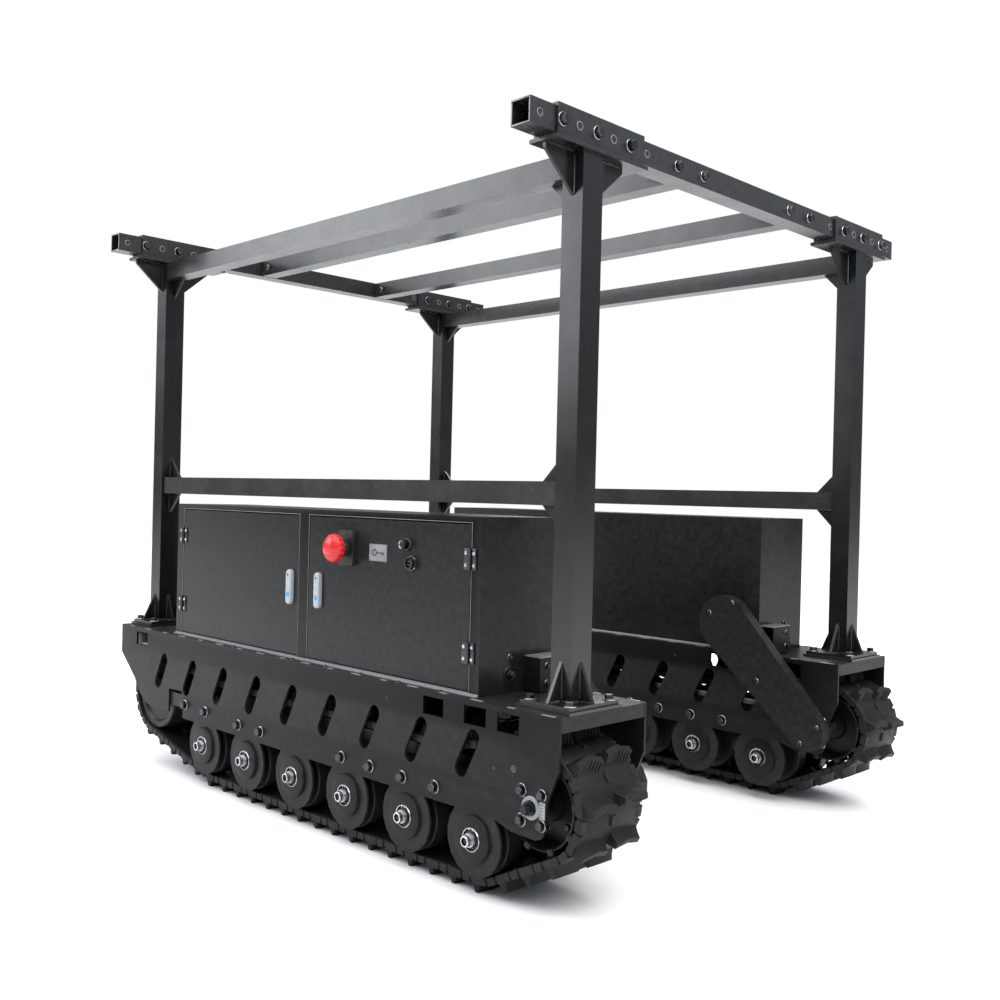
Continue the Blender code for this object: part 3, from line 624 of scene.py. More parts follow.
# ------------------------------------------------------------------ wheels
def road_wheel(tag, side, k, x):
    pc = Piece("%s_roller_%d" % (tag, k))
    c = P(x, side * 0.555, WHEEL_Z)
    h = (OUT - INN) / 2
    do, di = BELT_OUT - 0.555 - 0.006, BELT_IN - 0.555 + 0.006

    def cap(s):
        return [(0.0, s * (h + 0.0240)), (0.0050, s * (h + 0.0240)), (0.0056, s * (h + 0.0225)), (0.0056, s * (h + 0.0160)), (0.0078, s * (h + 0.0160)),
                (0.0084, s * (h + 0.0270)), (0.0112, s * (h + 0.0270)), (0.0120, s * (h + 0.0262)), (0.0120, s * (h + 0.0150)), (0.0150, s * (h + 0.0146)),
                (0.0165, s * (h + 0.0085)), (0.0165, s * (h + 0.0050)), (0.0226, s * (h + 0.0048)), (0.0232, s * (h + 0.0088)), (0.0248, s * (h + 0.0092)),
                (0.0254, s * (h + 0.0078)), (0.0470, s * (h + 0.0082)), (0.0490, s * (h + 0.0076)), (0.0500, s * (h + 0.0060)), (0.0500, s * (h + 0.0006)),
                (0.0120, s * (h + 0.0006))]
    cm = [BLACKOX, BLACKOX, BLACKOX, BLACKOX, STEEL, STEEL, STEEL, STEEL, ZINC, ZINC, ZINC, BLACKOX, BLACKOX, STEEL, STEEL] + [WHEEL_M] * 5
    mid = [(0.0120, do + 0.001), (0.034, do + 0.001), (0.036, do - 0.002), (0.060, do - 0.004), (0.064, do - 0.001), (WHEEL_R - 0.002, do - 0.001), (WHEEL_R, do - 0.003), (WHEEL_R, do - 0.041),
           (WHEEL_R - 0.002, do - 0.042), (0.030, do - 0.046), (0.030, di + 0.046), (WHEEL_R - 0.002, di + 0.042), (WHEEL_R, di + 0.041), (WHEEL_R, di + 0.003),
           (WHEEL_R - 0.002, di + 0.001), (0.064, di + 0.001), (0.060, di + 0.004), (0.036, di + 0.002), (0.034, di - 0.001), (0.0120, di - 0.001)]
    prof = cap(1) + mid + cap(-1)[::-1]
    mm = cm + [STEEL] + [WHEEL_M] * (len(mid) - 1) + [STEEL] + cm[::-1]
    pc.turn(prof, c, (0, side, 0), WHEEL_M, 48, True, mm)
    for e in (1, -1):
        pc.hexbolt((c[0], c[1] + side * e * (h + 0.017), c[2]), (0, side * e, 0), 0.0095, 0.006, BLACKOX)
        # ears of the snap ring
        for a in (-0.22, 0.22):
            pc.box((c[0] + 0.0218 * math.sin(a), c[1] + side * e * (h + 0.0078), c[2] + 0.0218 * math.cos(a)), (0.0034, 0.0016, 0.0034), STEEL, 0.0005)
    return pc.done("%s_wheel_%d" % (tag, k), ("%s_road_wheel_%d" % (tag, k),), 35)


def drive_wheel(tag, side):
    pc = Piece(tag + "_drive_sprocket")
    c = P(DRIVE[0], side * 0.555, DRIVE[1])
    h = (OUT - INN) / 2
    R = DRIVE[2] - 0.010
    do, di = BELT_OUT - 0.555 - 0.008, BELT_IN - 0.555 + 0.008
    pc.turn([(0.0, h + 0.026), (0.0075, h + 0.026), (0.009, h + 0.0245), (0.009, h + 0.012), (0.0148, h + 0.012), (0.0148, do - 0.030), (0.034, do - 0.032), (0.038, do - 0.040),
             (R - 0.012, do - 0.044), (R - 0.006, do - 0.006), (R - 0.003, do - 0.001), (R, do - 0.003), (R, di + 0.003), (R - 0.003, di + 0.001), (R - 0.006, di + 0.006),
             (R - 0.012, di + 0.044), (0.038, di + 0.040), (0.034, di + 0.032), (0.0148, di + 0.030), (0.0148, -h - 0.020), (0.012, -h - 0.023), (0.0, -h - 0.023)],
            c, (0, side, 0), WHEEL_M, 48, True, [BLACKOX] * 5 + [WHEEL_M] * 13 + [STEEL, STEEL, STEEL])
    # tooth bars round the drum
    T = 9
    ym = (do + di) / 2
    for i in range(T):
        a = math.tau * i / T
        d = Vector((math.sin(a), 0, math.cos(a)))
        for q in (-0.0605, 0.0605):
            pc.box((c[0] + d.x * (R + 0.001), c[1] + side * (ym + q), c[2] + d.z * (R + 0.001)), (0.016, 0.052, 0.014), WHEEL_M, 0.0025, Matrix.Rotation(a, 3, 'Y'))
    for i in range(6):
        a = math.tau * i / 6 + 0.3
        pc.hexbolt((c[0] + 0.060 * math.cos(a), c[1] + side * (do - 0.0425), c[2] + 0.060 * math.sin(a)), (0, side, 0), 0.012, 0.006, BOLT, 0.009)
    pc.hexbolt((c[0], c[1] + side * (h + 0.0105), c[2]), (0, side, 0), 0.0185, 0.0105, BLACKOX)
    return pc.done(tag + "_drive", (tag + "_drive_wheel",), 35)


def idler_wheel(tag, side):
    pc = Piece(tag + "_idler_roller")
    c = P(IDLER[0], side * 0.555, IDLER[1])
    do, di = BELT_OUT - 0.555 - 0.006, BELT_IN - 0.555 + 0.006
    R = IDLER[2]
    prof = [(0.0127, do - 0.002), (0.022, do - 0.002), (0.023, do - 0.006), (0.034, do - 0.006), (0.036, do - 0.002), (0.048, do - 0.002), (0.052, do - 0.009),
            (R - 0.024, do - 0.009), (R - 0.018, do - 0.003), (R - 0.003, do - 0.002), (R, do - 0.005), (R, di + 0.005), (R - 0.003, di + 0.002), (R - 0.018, di + 0.003),
            (R - 0.024, di + 0.009), (0.052, di + 0.009), (0.048, di + 0.002), (0.0127, di + 0.002)]
    rings = pc.turn(prof, c, (0, side, 0), WHEEL_M, 56, True, [STEEL, STEEL, BLACKOX, STEEL, WHEEL_M] + [WHEEL_M] * 20)
    a, b = rings[-1], rings[0]
    pc._tag([pc.bm.faces.new((a[k], b[k], b[(k + 1) % 56], a[(k + 1) % 56])) for k in range(56)], STEEL, True)
    return pc.done(tag + "_idler", (tag + "_idler_wheel",), 35)


# ------------------------------------------------------------------ fasteners on a track unit
def plate_fittings(tag, side):
    for face, nm, yv, n in ((1, "outer", OUT, side), (-1, "inner", INN, -side)):
        pc = Piece("%s_%s_plate_bolts" % (tag, nm))
        y = side * yv
        nrm = (0, n, 0)
        for x, z in ((-0.505, 0.216), (-0.394, 0.214), (-0.222, 0.206), (-0.115, 0.206), (0.235, 0.206), (0.344, 0.205), (0.460, 0.204), (0.569, 0.204)):
            z += 0.0
            pc.hexbolt(P(x, y, z), nrm, 0.0190, 0.0100, BOLT, 0.0148)
        # drive bearing: flange ring and four bolts
        dx, dz = DRIVE[0], DRIVE[1]
        pc.turn([(0.0156, 0.0), (0.0185, 0.0), (0.0235, 0.0001), (0.0235, 0.0030), (0.0228, 0.0036), (0.0156, 0.0036)], P(dx, y, dz), nrm, PALE, 40)
        for sx in (-1, 1):
            for sz in (-1, 1):
                pc.hexbolt(P(dx + sx * 0.0275, y, dz + sz * 0.0300), nrm, 0.0155, 0.0080, BOLT, 0.0125 if sx > 0 else 0.0140)
        # bright adjuster block beside the bearing
        if face > 0:
            pc.box(P(dx + 0.0300, y + n * 0.0014, dz), (0.0150, 0.0028, 0.034), PALE, 0.0008)
            for q in range(5):
                pc.box(P(dx + 0.0300, y + n * 0.0029, dz - 0.012 + q * 0.006), (0.010, 0.0004, 0.0010), BOLT, 0.0001)
        # small plain holes: thin dark discs as painted shade standing for the open holes
        for x, z, r in ((0.749, 0.280, 0.004), (-0.735, 0.268, 0.003), (0.400, 0.372, 0.003)):
            pc.turn([(0.0, 0.0003), (r * 0.8, 0.0003), (r, 0.0006), (r * 1.15, 0.0004), (r * 1.15, 0.0)], P(x, y, z), nrm, BLK, 16)
        pc.turn([(0.0, 0.0022), (0.0055, 0.0022), (0.0065, 0.0015), (0.0080, 0.0012), (0.0085, 0.0)], P(0.806, y, 0.289), nrm, BOLT, 24)
        pc.done(tag + "_unit", (), 30)

    # folded tabs and slot edges along the top line of the outer plate: the tabs are painted highlight strips in bright
    # edge paint, the slots painted shade in black
    pc = Piece(tag + "_edge_tabs")
    for i in range(18):
        x = -0.84 + i * 0.102
        if x > 0.90:
            break
        for s, yy in ((1, OUT), (-1, INN)):
            pc.box(P(x, side * (yy - s * 0.0036), DECK_Z + 0.0004), (0.034 if i % 2 else 0.020, 0.0068, 0.0016), PAINT_EDGE_HIGHLIGHT, 0.0004)
            pc.box(P(x + 0.026, side * (yy - s * 0.0030), DECK_Z + 0.0002), (0.0045, 0.0056, 0.0012), BLK, 0.0002)
    pc.done(tag + "_unit", (), 30)

    # lip of rolled sheet under the cabinet, on both sides, in bright edge paint: a painted highlight for the sky
    # reflection on the lip
    pc = Piece(tag + "_cabinet_sill")
    for s, yy in ((1, CAB_OUT), (-1, CAB_IN)):
        pc.prism([P(CAB_X0, side * (yy + s * 0.0002), DECK_Z + 0.0005), P(CAB_X0, side * (yy + s * 0.0085), DECK_Z + 0.0005), P(CAB_X0, side * (yy + s * 0.0085), DECK_Z + 0.0022),
                  P(CAB_X0, side * (yy + s * 0.0030), DECK_Z + 0.0036), P(CAB_X0, side * (yy + s * 0.0002), DECK_Z + 0.0060)], (CAB_X1 - CAB_X0, 0, 0), PAINT_EDGE_HIGHLIGHT)
    for i in range(9):
        pc.hexbolt(P(-0.55 + i * 0.14, side * (CAB_OUT + 0.0150), DECK_Z + 0.0002), (0, 0, 1), 0.007, 0.003, BLACKOX, 0.0055, BOLT, 0.0008)
    pc.done(tag + "_unit", (), 30)

    # dark sheets behind the square window as painted shade, with a small pale flange; cross stays seen through the
    # slots
    pc = Piece(tag + "_inner_stays")
    for yy in (OUT - 0.0300, INN + 0.0300):
        pc.box(P(-0.800, side * yy, 0.3710), (0.160, 0.002, 0.058), PAINT, 0.0005)
    pc.box(P(-0.765, side * (OUT - 0.0160), 0.3600), (0.040, 0.016, 0.003), PALE, 0.0006)
    for x in (-0.62, -0.30, 0.02, 0.34, 0.64):
        pc.turn([(0.0, 0.0), (0.010, 0.0), (0.010, 0.2615), (0.0, 0.2615)], P(x, side * (INN + 0.0062), 0.388), (0, side, 0), BOLT, 16)
        for yy in (INN + 0.0062, OUT - 0.0062 - 0.006):
            pc.turn([(0.010, 0.0), (0.015, 0.0), (0.015, 0.006), (0.010, 0.006)], P(x, side * yy, 0.388), (0, side, 0), BLACKOX, 16)
    pc.done(tag + "_unit", (), 30)


def fork_details(tag, side):
    pc = Piece(tag + "_tension_screw")
    # threaded adjuster bar with lock nuts behind the cross bar
    c = P(-0.515, side * 0.555, IDLER[1])
    pc.turn([(0.0, 0.0), (0.008, 0.0)] + [(0.0080 if i % 2 else 0.0071, 0.001 + i * 0.0022) for i in range(14)] + [(0.0, 0.033)], c, (1, 0, 0), STEEL, 18)
    pc.hexbolt((c[0], c[1], c[2]), (1, 0, 0), 0.019, 0.008, ZINC, 0.014)
    pc.done(tag + "_tensioner", (), 30)


# ------------------------------------------------------------------ posts
def post_fittings(tag, side):
    for sx, nm in ((1, "front"), (-1, "rear")):
        pc = Piece("%s_post_%s_hardware" % (tag, nm))
        x, y = sx * POST_X, side * POST_Y
        zb = DECK_Z + 0.0143
        xa, xb = (x - 0.055, x + 0.053) if sx > 0 else (x - 0.032, x + 0.055)
        for bx in (xa, xb):
            for by in (y - 0.061, y + 0.061):
                pc.hexbolt(P(bx, by, zb), (0, 0, 1), 0.0165, 0.0090, BOLT, 0.0135)
        # welds up both sides of each foot gusset and round the foot
        for s in (-1, 1):
            yf = y + s * POST_WY / 2
            for o in (-0.0045, 0.0045):
                pc.weld(P(x + o, yf + s * 0.0010, zb + 0.006), P(x + o, yf + s * 0.0010, zb + 0.074), 0.0026)
                pc.weld(P(x + o, yf + s * 0.006, zb + 0.0006), P(x + o, yf + s * 0.036, zb + 0.0006), 0.0022)
            reach = 0.014 if (sx < 0 and s < 0) else 0.036
            xf = x + s * POST_WX / 2
            for o in (-0.0045, 0.0045):
                pc.weld(P(xf + s * 0.0010, y + o, zb + 0.006), P(xf + s * 0.0010, y + o, zb + 0.074), 0.0026)
                pc.weld(P(xf + s * 0.004, y + o, zb + 0.0006), P(xf + s * (reach - 0.004), y + o, zb + 0.0006), 0.0022)
        for s in (-1, 1):
            pc.weld(P(x - POST_WX / 2, y + s * (POST_WY / 2 + 0.0008), zb + 0.0005), P(x + POST_WX / 2, y + s * (POST_WY / 2 + 0.0008), zb + 0.0005), 0.0022)
            pc.weld(P(x + s * (POST_WX / 2 + 0.0008), y - POST_WY / 2, zb + 0.0005), P(x + s * (POST_WX / 2 + 0.0008), y + POST_WY / 2, zb + 0.0005), 0.0022)
        # head gusset welds
        for s, reach in ((side, 0.080), (-side, 0.084)):
            yf = y + s * POST_WY / 2
            for o in (-0.0045, 0.0045):
                pc.weld(P(x + o, yf + s * 0.0010, 1.538 - 0.086), P(x + o, yf + s * 0.0010, 1.538 - 0.006), 0.0024)
                pc.weld(P(x + o, yf + s * 0.004, 1.5372), P(x + o, yf + s * reach, 1.5372), 0.0024)
        # saddle to sleeve seam
        for o in (-1, 1):
            pc.weld(P(x + o * (SLEEVE / 2 + 0.0006), side * 0.425, 1.5466), P(x + o * (SLEEVE / 2 + 0.0006), side * 0.690, 1.5466), 0.0020, 60)
        # rail gusset welds
        xi = x - sx * POST_WX / 2
        for za, zc in ((0.8445 + 0.026, 0.056), (0.8445 - 0.026, -0.056)):
            for o in (-0.0045, 0.0045):
                pc.weld(P(xi - sx * 0.0008, y + o, za), P(xi - sx * 0.0008, y + o, za + zc), 0.0022)
        # gauge pin bolts through the sleeve and the row of index holes
        for f in (1, -1):
            n = (f, 0, 0)
            xs = x + f * SLEEVE / 2
            for t in (0.681, 0.575, 0.468):
                pc.hexbolt(P(xs, side * t, TUBE_Z), n, 0.0200, 0.0110, BOLT, 0.0140)
            # index holes: the black disc is painted shade in the hole and the bright edge-paint rim a painted highlight
            for t in (0.630, 0.523):
                pc.turn([(0.0, 0.0003), (0.0066, 0.0003), (0.0074, 0.0010), (0.0092, 0.0008), (0.0095, 0.0)], P(xs, side * t, TUBE_Z), n, BLK, 24,
                        True, [BLK, BLK, PAINT_EDGE_HIGHLIGHT, PAINT_EDGE_HIGHLIGHT])
        pc.done(tag + "_unit", (), 40)


def frame_fittings():
    pc = Piece("gauge_tube_hardware")
    for sx in (1, -1):
        for f in (1, -1):
            xs = sx * POST_X + f * 0.0257
            n = (f, 0, 0)
            # index holes: the black disc is painted shade in the hole and the bright edge-paint rim a painted highlight
            for s in (1, -1):
                for t in (0.402, 0.740):
                    pc.turn([(0.0, 0.0003), (0.0060, 0.0003), (0.0068, 0.0009), (0.0082, 0.0007), (0.0086, 0.0)], P(xs, s * t, TUBE_Z), n, BLK, 20,
                            True, [BLK, BLK, PAINT_EDGE_HIGHLIGHT, PAINT_EDGE_HIGHLIGHT])
            if f == sx:
                # bolts into the deck rail end plates
                for s in (1, -1):
                    for d in (-0.050, 0.050):
                        pc.hexbolt(P(xs, s * 0.24 + d, TUBE_Z), n, 0.0180, 0.0100, BOLT, 0.0125)
        # rim of the tube's open end, in bright edge paint: a painted highlight
        for s in (1, -1):
            for o in (-1, 1):
                pc.box(P(sx * POST_X + o * 0.0240, s * 0.7675, TUBE_Z), (0.0030, 0.0012, 0.0500), PAINT_EDGE_HIGHLIGHT, 0.0003)
                pc.box(P(sx * POST_X, s * 0.7675, TUBE_Z + o * 0.0240), (0.0450, 0.0012, 0.0030), PAINT_EDGE_HIGHLIGHT, 0.0003)
    pc.done("upper_frame", (), 40)
    pc = Piece("deck_rail_cleats")
    for s in (1, -1):
        for sx in (1, -1):
            xe = sx * (POST_X - 0.0257)
            for o in (-1, 1):
                y = s * 0.24 + o * 0.0256
                pc.prism([P(xe - sx * 0.001, y, TUBE_Z - 0.022), P(xe - sx * 0.055, y, TUBE_Z - 0.006), P(xe - sx * 0.055, y, TUBE_Z + 0.006), P(xe - sx * 0.001, y, TUBE_Z + 0.022)],
                         (0, o * 0.004, 0), PAINT_HI)
                pc.weld(P(xe - sx * 0.0016, y + o * 0.001, TUBE_Z - 0.024), P(xe - sx * 0.0016, y + o * 0.001, TUBE_Z + 0.024), 0.0022)
                pc.hexbolt(P(xe - sx * 0.036, y + o * 0.004, TUBE_Z), (0, o, 0), 0.011, 0.005, BOLT, 0.009)
    pc.done("upper_frame", (), 40)


# ------------------------------------------------------------------ cabinet
def hinge_piece(tag, side, x, z, s_door):
    """Butt hinge, frame side: the leaf on the cabinet by the door line, three knuckle segments and two screws."""
    out = []
    y = side * (CAB_OUT + 0.0004)
    h = 0.046
    # frame leaf stays with the cabinet
    fr = Piece("%s_hinge_leaf_%s_%d" % (tag, "f" if s_door < 0 else "r", int(z * 100)))
    fr.box(P(x - s_door * 0.0115, y + side * 0.0014, z), (0.015, 0.0026, h), HINGE, 0.0008)
    for dz in (-0.013, 0.013):
        fr.turn([(0.0, 0.0026), (0.0024, 0.0024), (0.0040, 0.0012), (0.0042, 0.0)], P(x - s_door * 0.0125, y + side * 0.0027, z + dz), (0, side, 0), STEEL, 16)
    for i in range(3):
        zc = z - h / 2 + h * (i * 2 + 0.5) / 5 + h * 0.0
        fr.turn([(0.0, 0.0), (0.0042, 0.0), (0.0046, 0.0005), (0.0046, h / 5 - 0.0009), (0.0042, h / 5 - 0.0004), (0.0, h / 5 - 0.0004)],
                P(x, y + side * 0.0044, z - h / 2 + h * 2 * i / 5), (0, 0, 1), HINGE, 16)
    fr.done(tag + "_unit", (), 30)
    return y, h


def door_hardware(tag, side, which, hx, s_door, cx):
    body = "%s_%s_door" % (tag, which)
    y = side * (CAB_OUT + 0.0004)
    h = 0.046
    pc = Piece("%s_door_leaves" % body)
    for z in (0.700, 0.500):
        hinge_piece(tag, side, hx, z, s_door)
        pc.box(P(hx + s_door * 0.0115, y + side * 0.0014, z), (0.015, 0.0026, h), HINGE, 0.0008)
        for dz in (-0.013, 0.013):
            pc.turn([(0.0, 0.0026), (0.0024, 0.0024), (0.0040, 0.0012), (0.0042, 0.0)], P(hx + s_door * 0.0125, y + side * 0.0027, z + dz), (0, side, 0), STEEL, 16)
        for i in range(2):
            pc.turn([(0.0, 0.0), (0.0042, 0.0), (0.0046, 0.0005), (0.0046, h / 5 - 0.0009), (0.0042, h / 5 - 0.0004), (0.0, h / 5 - 0.0004)],
                    P(hx, y + side * 0.0044, z - h / 2 + h * (2 * i + 1) / 5), (0, 0, 1), HINGE, 16)
    pc.done(body, (), 30)

    # oblong swing handle
    hp = Piece("%s_%s_swing_handle" % (tag, which))
    z0, z1 = 0.558, 0.624
    w = 0.0116
    cy = side * (CAB_OUT + 0.0003)

    def ring(r, d):
        pts = []
        for i in range(13):
            a = math.pi * i / 12
            pts.append(P(cx + r * math.cos(a), cy + side * d, z1 + r * math.sin(a)))
        for i in range(13):
            a = math.pi + math.pi * i / 12
            pts.append(P(cx + r * math.cos(a), cy + side * d, z0 + r * math.sin(a)))
        return [hp.bm.verts.new(p) for p in pts]
    R = [ring(w, 0.0), ring(w, 0.0070), ring(w - 0.0005, 0.0085), ring(w - 0.0015, 0.0096), ring(w - 0.0030, 0.0102), ring(w - 0.0075, 0.0104)]
    fs = []
    for a, b in zip(R[:-1], R[1:]):
        k = len(a)
        fs += [hp.bm.faces.new((a[i], a[(i + 1) % k], b[(i + 1) % k], b[i])) for i in range(k)]
    fs.append(hp.bm.faces.new(R[-1]))
    fs.append(hp.bm.faces.new(R[0][::-1]))
    hp._tag(fs, SILVER, True)
    hp.turn([(0.0, 0.0004), (0.0022, 0.0006), (0.0034, 0.0010), (0.0040, 0.0006), (0.0042, 0.0)], P(cx, cy + side * 0.0101, 0.622), (0, side, 0), BLACKOX, 18,
            True, [BLK, BLACKOX, STEEL, STEEL])
    hp.turn([(0.0, 0.0012), (0.0050, 0.0012), (0.0062, 0.0008), (0.0066, 0.0)], P(cx, cy + side * 0.0101, 0.572), (0, side, 0), BLUE, 26)
    hp.done("%s_%s_handle" % (tag, which), ("%s_handle_%s" % (tag, which),), 32)

    # handle escutcheon on the door skin
    ep = Piece("%s_%s_escutcheon" % (tag, which))
    pts = []
    for i in range(13):
        a = math.pi * i / 12
        pts.append(P(cx + 0.0142 * math.cos(a), side * CAB_OUT, z1 + 0.0142 * math.sin(a)))
    for i in range(13):
        a = math.pi + math.pi * i / 12
        pts.append(P(cx + 0.0142 * math.cos(a), side * CAB_OUT, z0 + 0.0142 * math.sin(a)))
    ep.prism(pts, (0, side * 0.0002, 0), BLK)
    ep.done(body, (), 30)

    # gasket round the inside of the door
    gp = Piece("%s_gasket" % body)
    x0, x1 = (-0.573, 0.002) if which == "rear" else (0.054, 0.637)
    zz0, zz1 = 0.424, 0.770
    yy = side * (CAB_OUT - 0.0060)
    pth = [P(x0 + 0.008, yy, zz0 + 0.008), P(x1 - 0.008, yy, zz0 + 0.008), P(x1 - 0.008, yy, zz1 - 0.008), P(x0 + 0.008, yy, zz1 - 0.008)]
    for i in range(4):
        gp.tube([pth[i], pth[(i + 1) % 4]], 0.0032, RUB, 8)
    gp.done(body, (), 40)


def cabinet_details(tag, side):
    # door frame returns: thin painted highlight lines in bright edge paint round both openings
    pc = Piece(tag + "_door_frame_highlights")
    y = side * (CAB_OUT + 0.0003)
    for x0, x1 in ((-0.578, 0.007), (0.049, 0.642)):
        for z, t in ((0.4158, 0.0016), (0.7782, 0.0012)):
            pc.box(P((x0 + x1) / 2, y, z), (x1 - x0 + 0.004, 0.0012, t), PAINT_EDGE_HIGHLIGHT, 0.0003)
        for x in (x0 - 0.0006, x1 + 0.0006):
            pc.box(P(x, y, 0.597), (0.0010, 0.0010, 0.362), PAINT_EDGE_HIGHLIGHT, 0.0002)
    pc.done(tag + "_unit", (), 30)
    # bracket and gland on the front end
    pc = Piece(tag + "_cabinet_fittings")
    xe = CAB_X1
    gx = P(xe, side * 0.574, 0.450)
    pc.turn([(0.0, 0.014), (0.006, 0.014), (0.0075, 0.012), (0.0075, 0.006), (0.0105, 0.005), (0.0105, 0.0)], gx, (1, 0, 0), BLK, 20)
    pc.hexbolt(P(xe, side * 0.574, 0.487), (1, 0, 0), 0.009, 0.004, BOLT, 0.0075)
    pc.turn([(0.014, 0.0), (0.014, 0.0016), (0.0165, 0.0018), (0.0175, 0.0008), (0.0175, 0.0)], gx, (1, 0, 0), BOLT, 28)
    # box bracket
    by0, by1, bz0, bz1 = 0.437, 0.527, 0.412, 0.485
    pc.prism([P(xe + 0.0002, side * by1, bz0), P(xe + 0.0002, side * by1, bz1), P(xe + 0.046, side * by1, bz1), P(xe + 0.046, side * by1, bz0)], (0, -side * 0.003, 0), PAINT)
    # bracket top in bright edge paint: a painted highlight where light falls on the top face
    pc.prism([P(xe + 0.0002, side * by1, bz1), P(xe + 0.0002, side * by0, bz1), P(xe + 0.046, side * by0, bz1), P(xe + 0.046, side * by1, bz1)], (0, 0, 0.003), PAINT_EDGE_HIGHLIGHT)
    pc.prism([P(xe + 0.0445, side * by1, bz0), P(xe + 0.0445, side * by0, bz0), P(xe + 0.0445, side * by0, bz1), P(xe + 0.0445, side * by1, bz1)], (0.003, 0, 0), PAINT)
    for bz in (0.430, 0.468):
        pc.hexbolt(P(xe + 0.0475, side * 0.505, bz), (1, 0, 0), 0.010, 0.0045, BLACKOX, 0.008)
    pc.done(tag + "_unit", (), 30, 0.0007)

    # battery terminals, straps and label
    pc = Piece(tag + "_battery_fittings")
    (a, b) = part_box(tag + "_battery")
    cy = (a[1] + b[1]) / 2
    for f in (0.22, 0.78):
        xx = a[0] + (b[0] - a[0]) * f
        pc.box((xx, cy, b[2] + 0.0009), (0.026, b[1] - a[1] + 0.003, 0.0018), BLACKOX, 0.0005)
        for yy in (a[1] - 0.0009, b[1] + 0.0009):
            pc.box((xx, yy, (a[2] + b[2]) / 2), (0.026, 0.0018, b[2] - a[2]), BLACKOX, 0.0005)
    pc.turn([(0.0, 0.0), (0.009, 0.0), (0.009, 0.004), (0.006, 0.0045), (0.006, 0.006), (0.0, 0.006)], (a[0] + 0.04, cy + 0.04, b[2]), (0, 0, 1), REDP, 20)
    pc.turn([(0.0, 0.0), (0.009, 0.0), (0.009, 0.004), (0.006, 0.0045), (0.006, 0.006), (0.0, 0.006)], (a[0] + 0.04, cy - 0.04, b[2]), (0, 0, 1), BLK, 20)
    yo = b[1] if side > 0 else a[1]
    pc.box(((a[0] + b[0]) / 2, yo + side * 0.0004, (a[2] + b[2]) / 2 + 0.02), (0.16, 0.0008, 0.09), LABEL, 0.0002)
    pc.box(((a[0] + b[0]) / 2, yo + side * 0.0009, (a[2] + b[2]) / 2 + 0.045), (0.14, 0.0004, 0.014), YEL, 0.0001)
    pc.done(tag + "_unit", (), 30)

    # gear motor with cooling ribs and gear case bolts
    pc = Piece(tag + "_geared_motor")
    c = P(0.585, side * (CAB_IN + 0.0036), 0.490)
    prof = [(0.0, -0.050), (0.0110, -0.050), (0.0123, -0.048), (0.0123, -0.0002), (0.034, -0.0001), (0.034, 0.0055), (0.0565, 0.0065), (0.0578, 0.008), (0.0578, 0.052), (0.055, 0.056), (0.047, 0.060)]
    h = 0.064
    while h < 0.160:
        prof += [(0.0445, h), (0.0445, h + 0.003), (0.0478, h + 0.0035), (0.0478, h + 0.0065)]
        h += 0.0075
    prof += [(0.046, 0.166), (0.030, 0.1695), (0.0, 0.1695)]
    pc.turn(prof, c, (0, side, 0), MOTORM, 40, True, [STEEL] * 4 + [MOTORM] * 80)
    for i in range(6):
        a = math.tau * i / 6
        pc.hexbolt((c[0] + 0.046 * math.cos(a), c[1] + side * 0.0558, c[2] + 0.046 * math.sin(a)), (0, side, 0), 0.007, 0.004, BLACKOX)
    pc.done(tag + "_unit", (tag + "_gear_motor",), 35)

    # chain guard screws
    pc = Piece(tag + "_guard_screws")
    yg = side * (INN - 0.036)
    for x, z in ((0.585 - 0.045, 0.515), (0.585 + 0.03, 0.55), (0.700, 0.340), (0.856 + 0.028, 0.240), (0.856 - 0.02, 0.190)):
        pc.hexbolt(P(x, yg, z), (0, -side, 0), 0.010, 0.0045, BOLT, 0.0080)
    pc.done(tag + "_unit", (), 30)


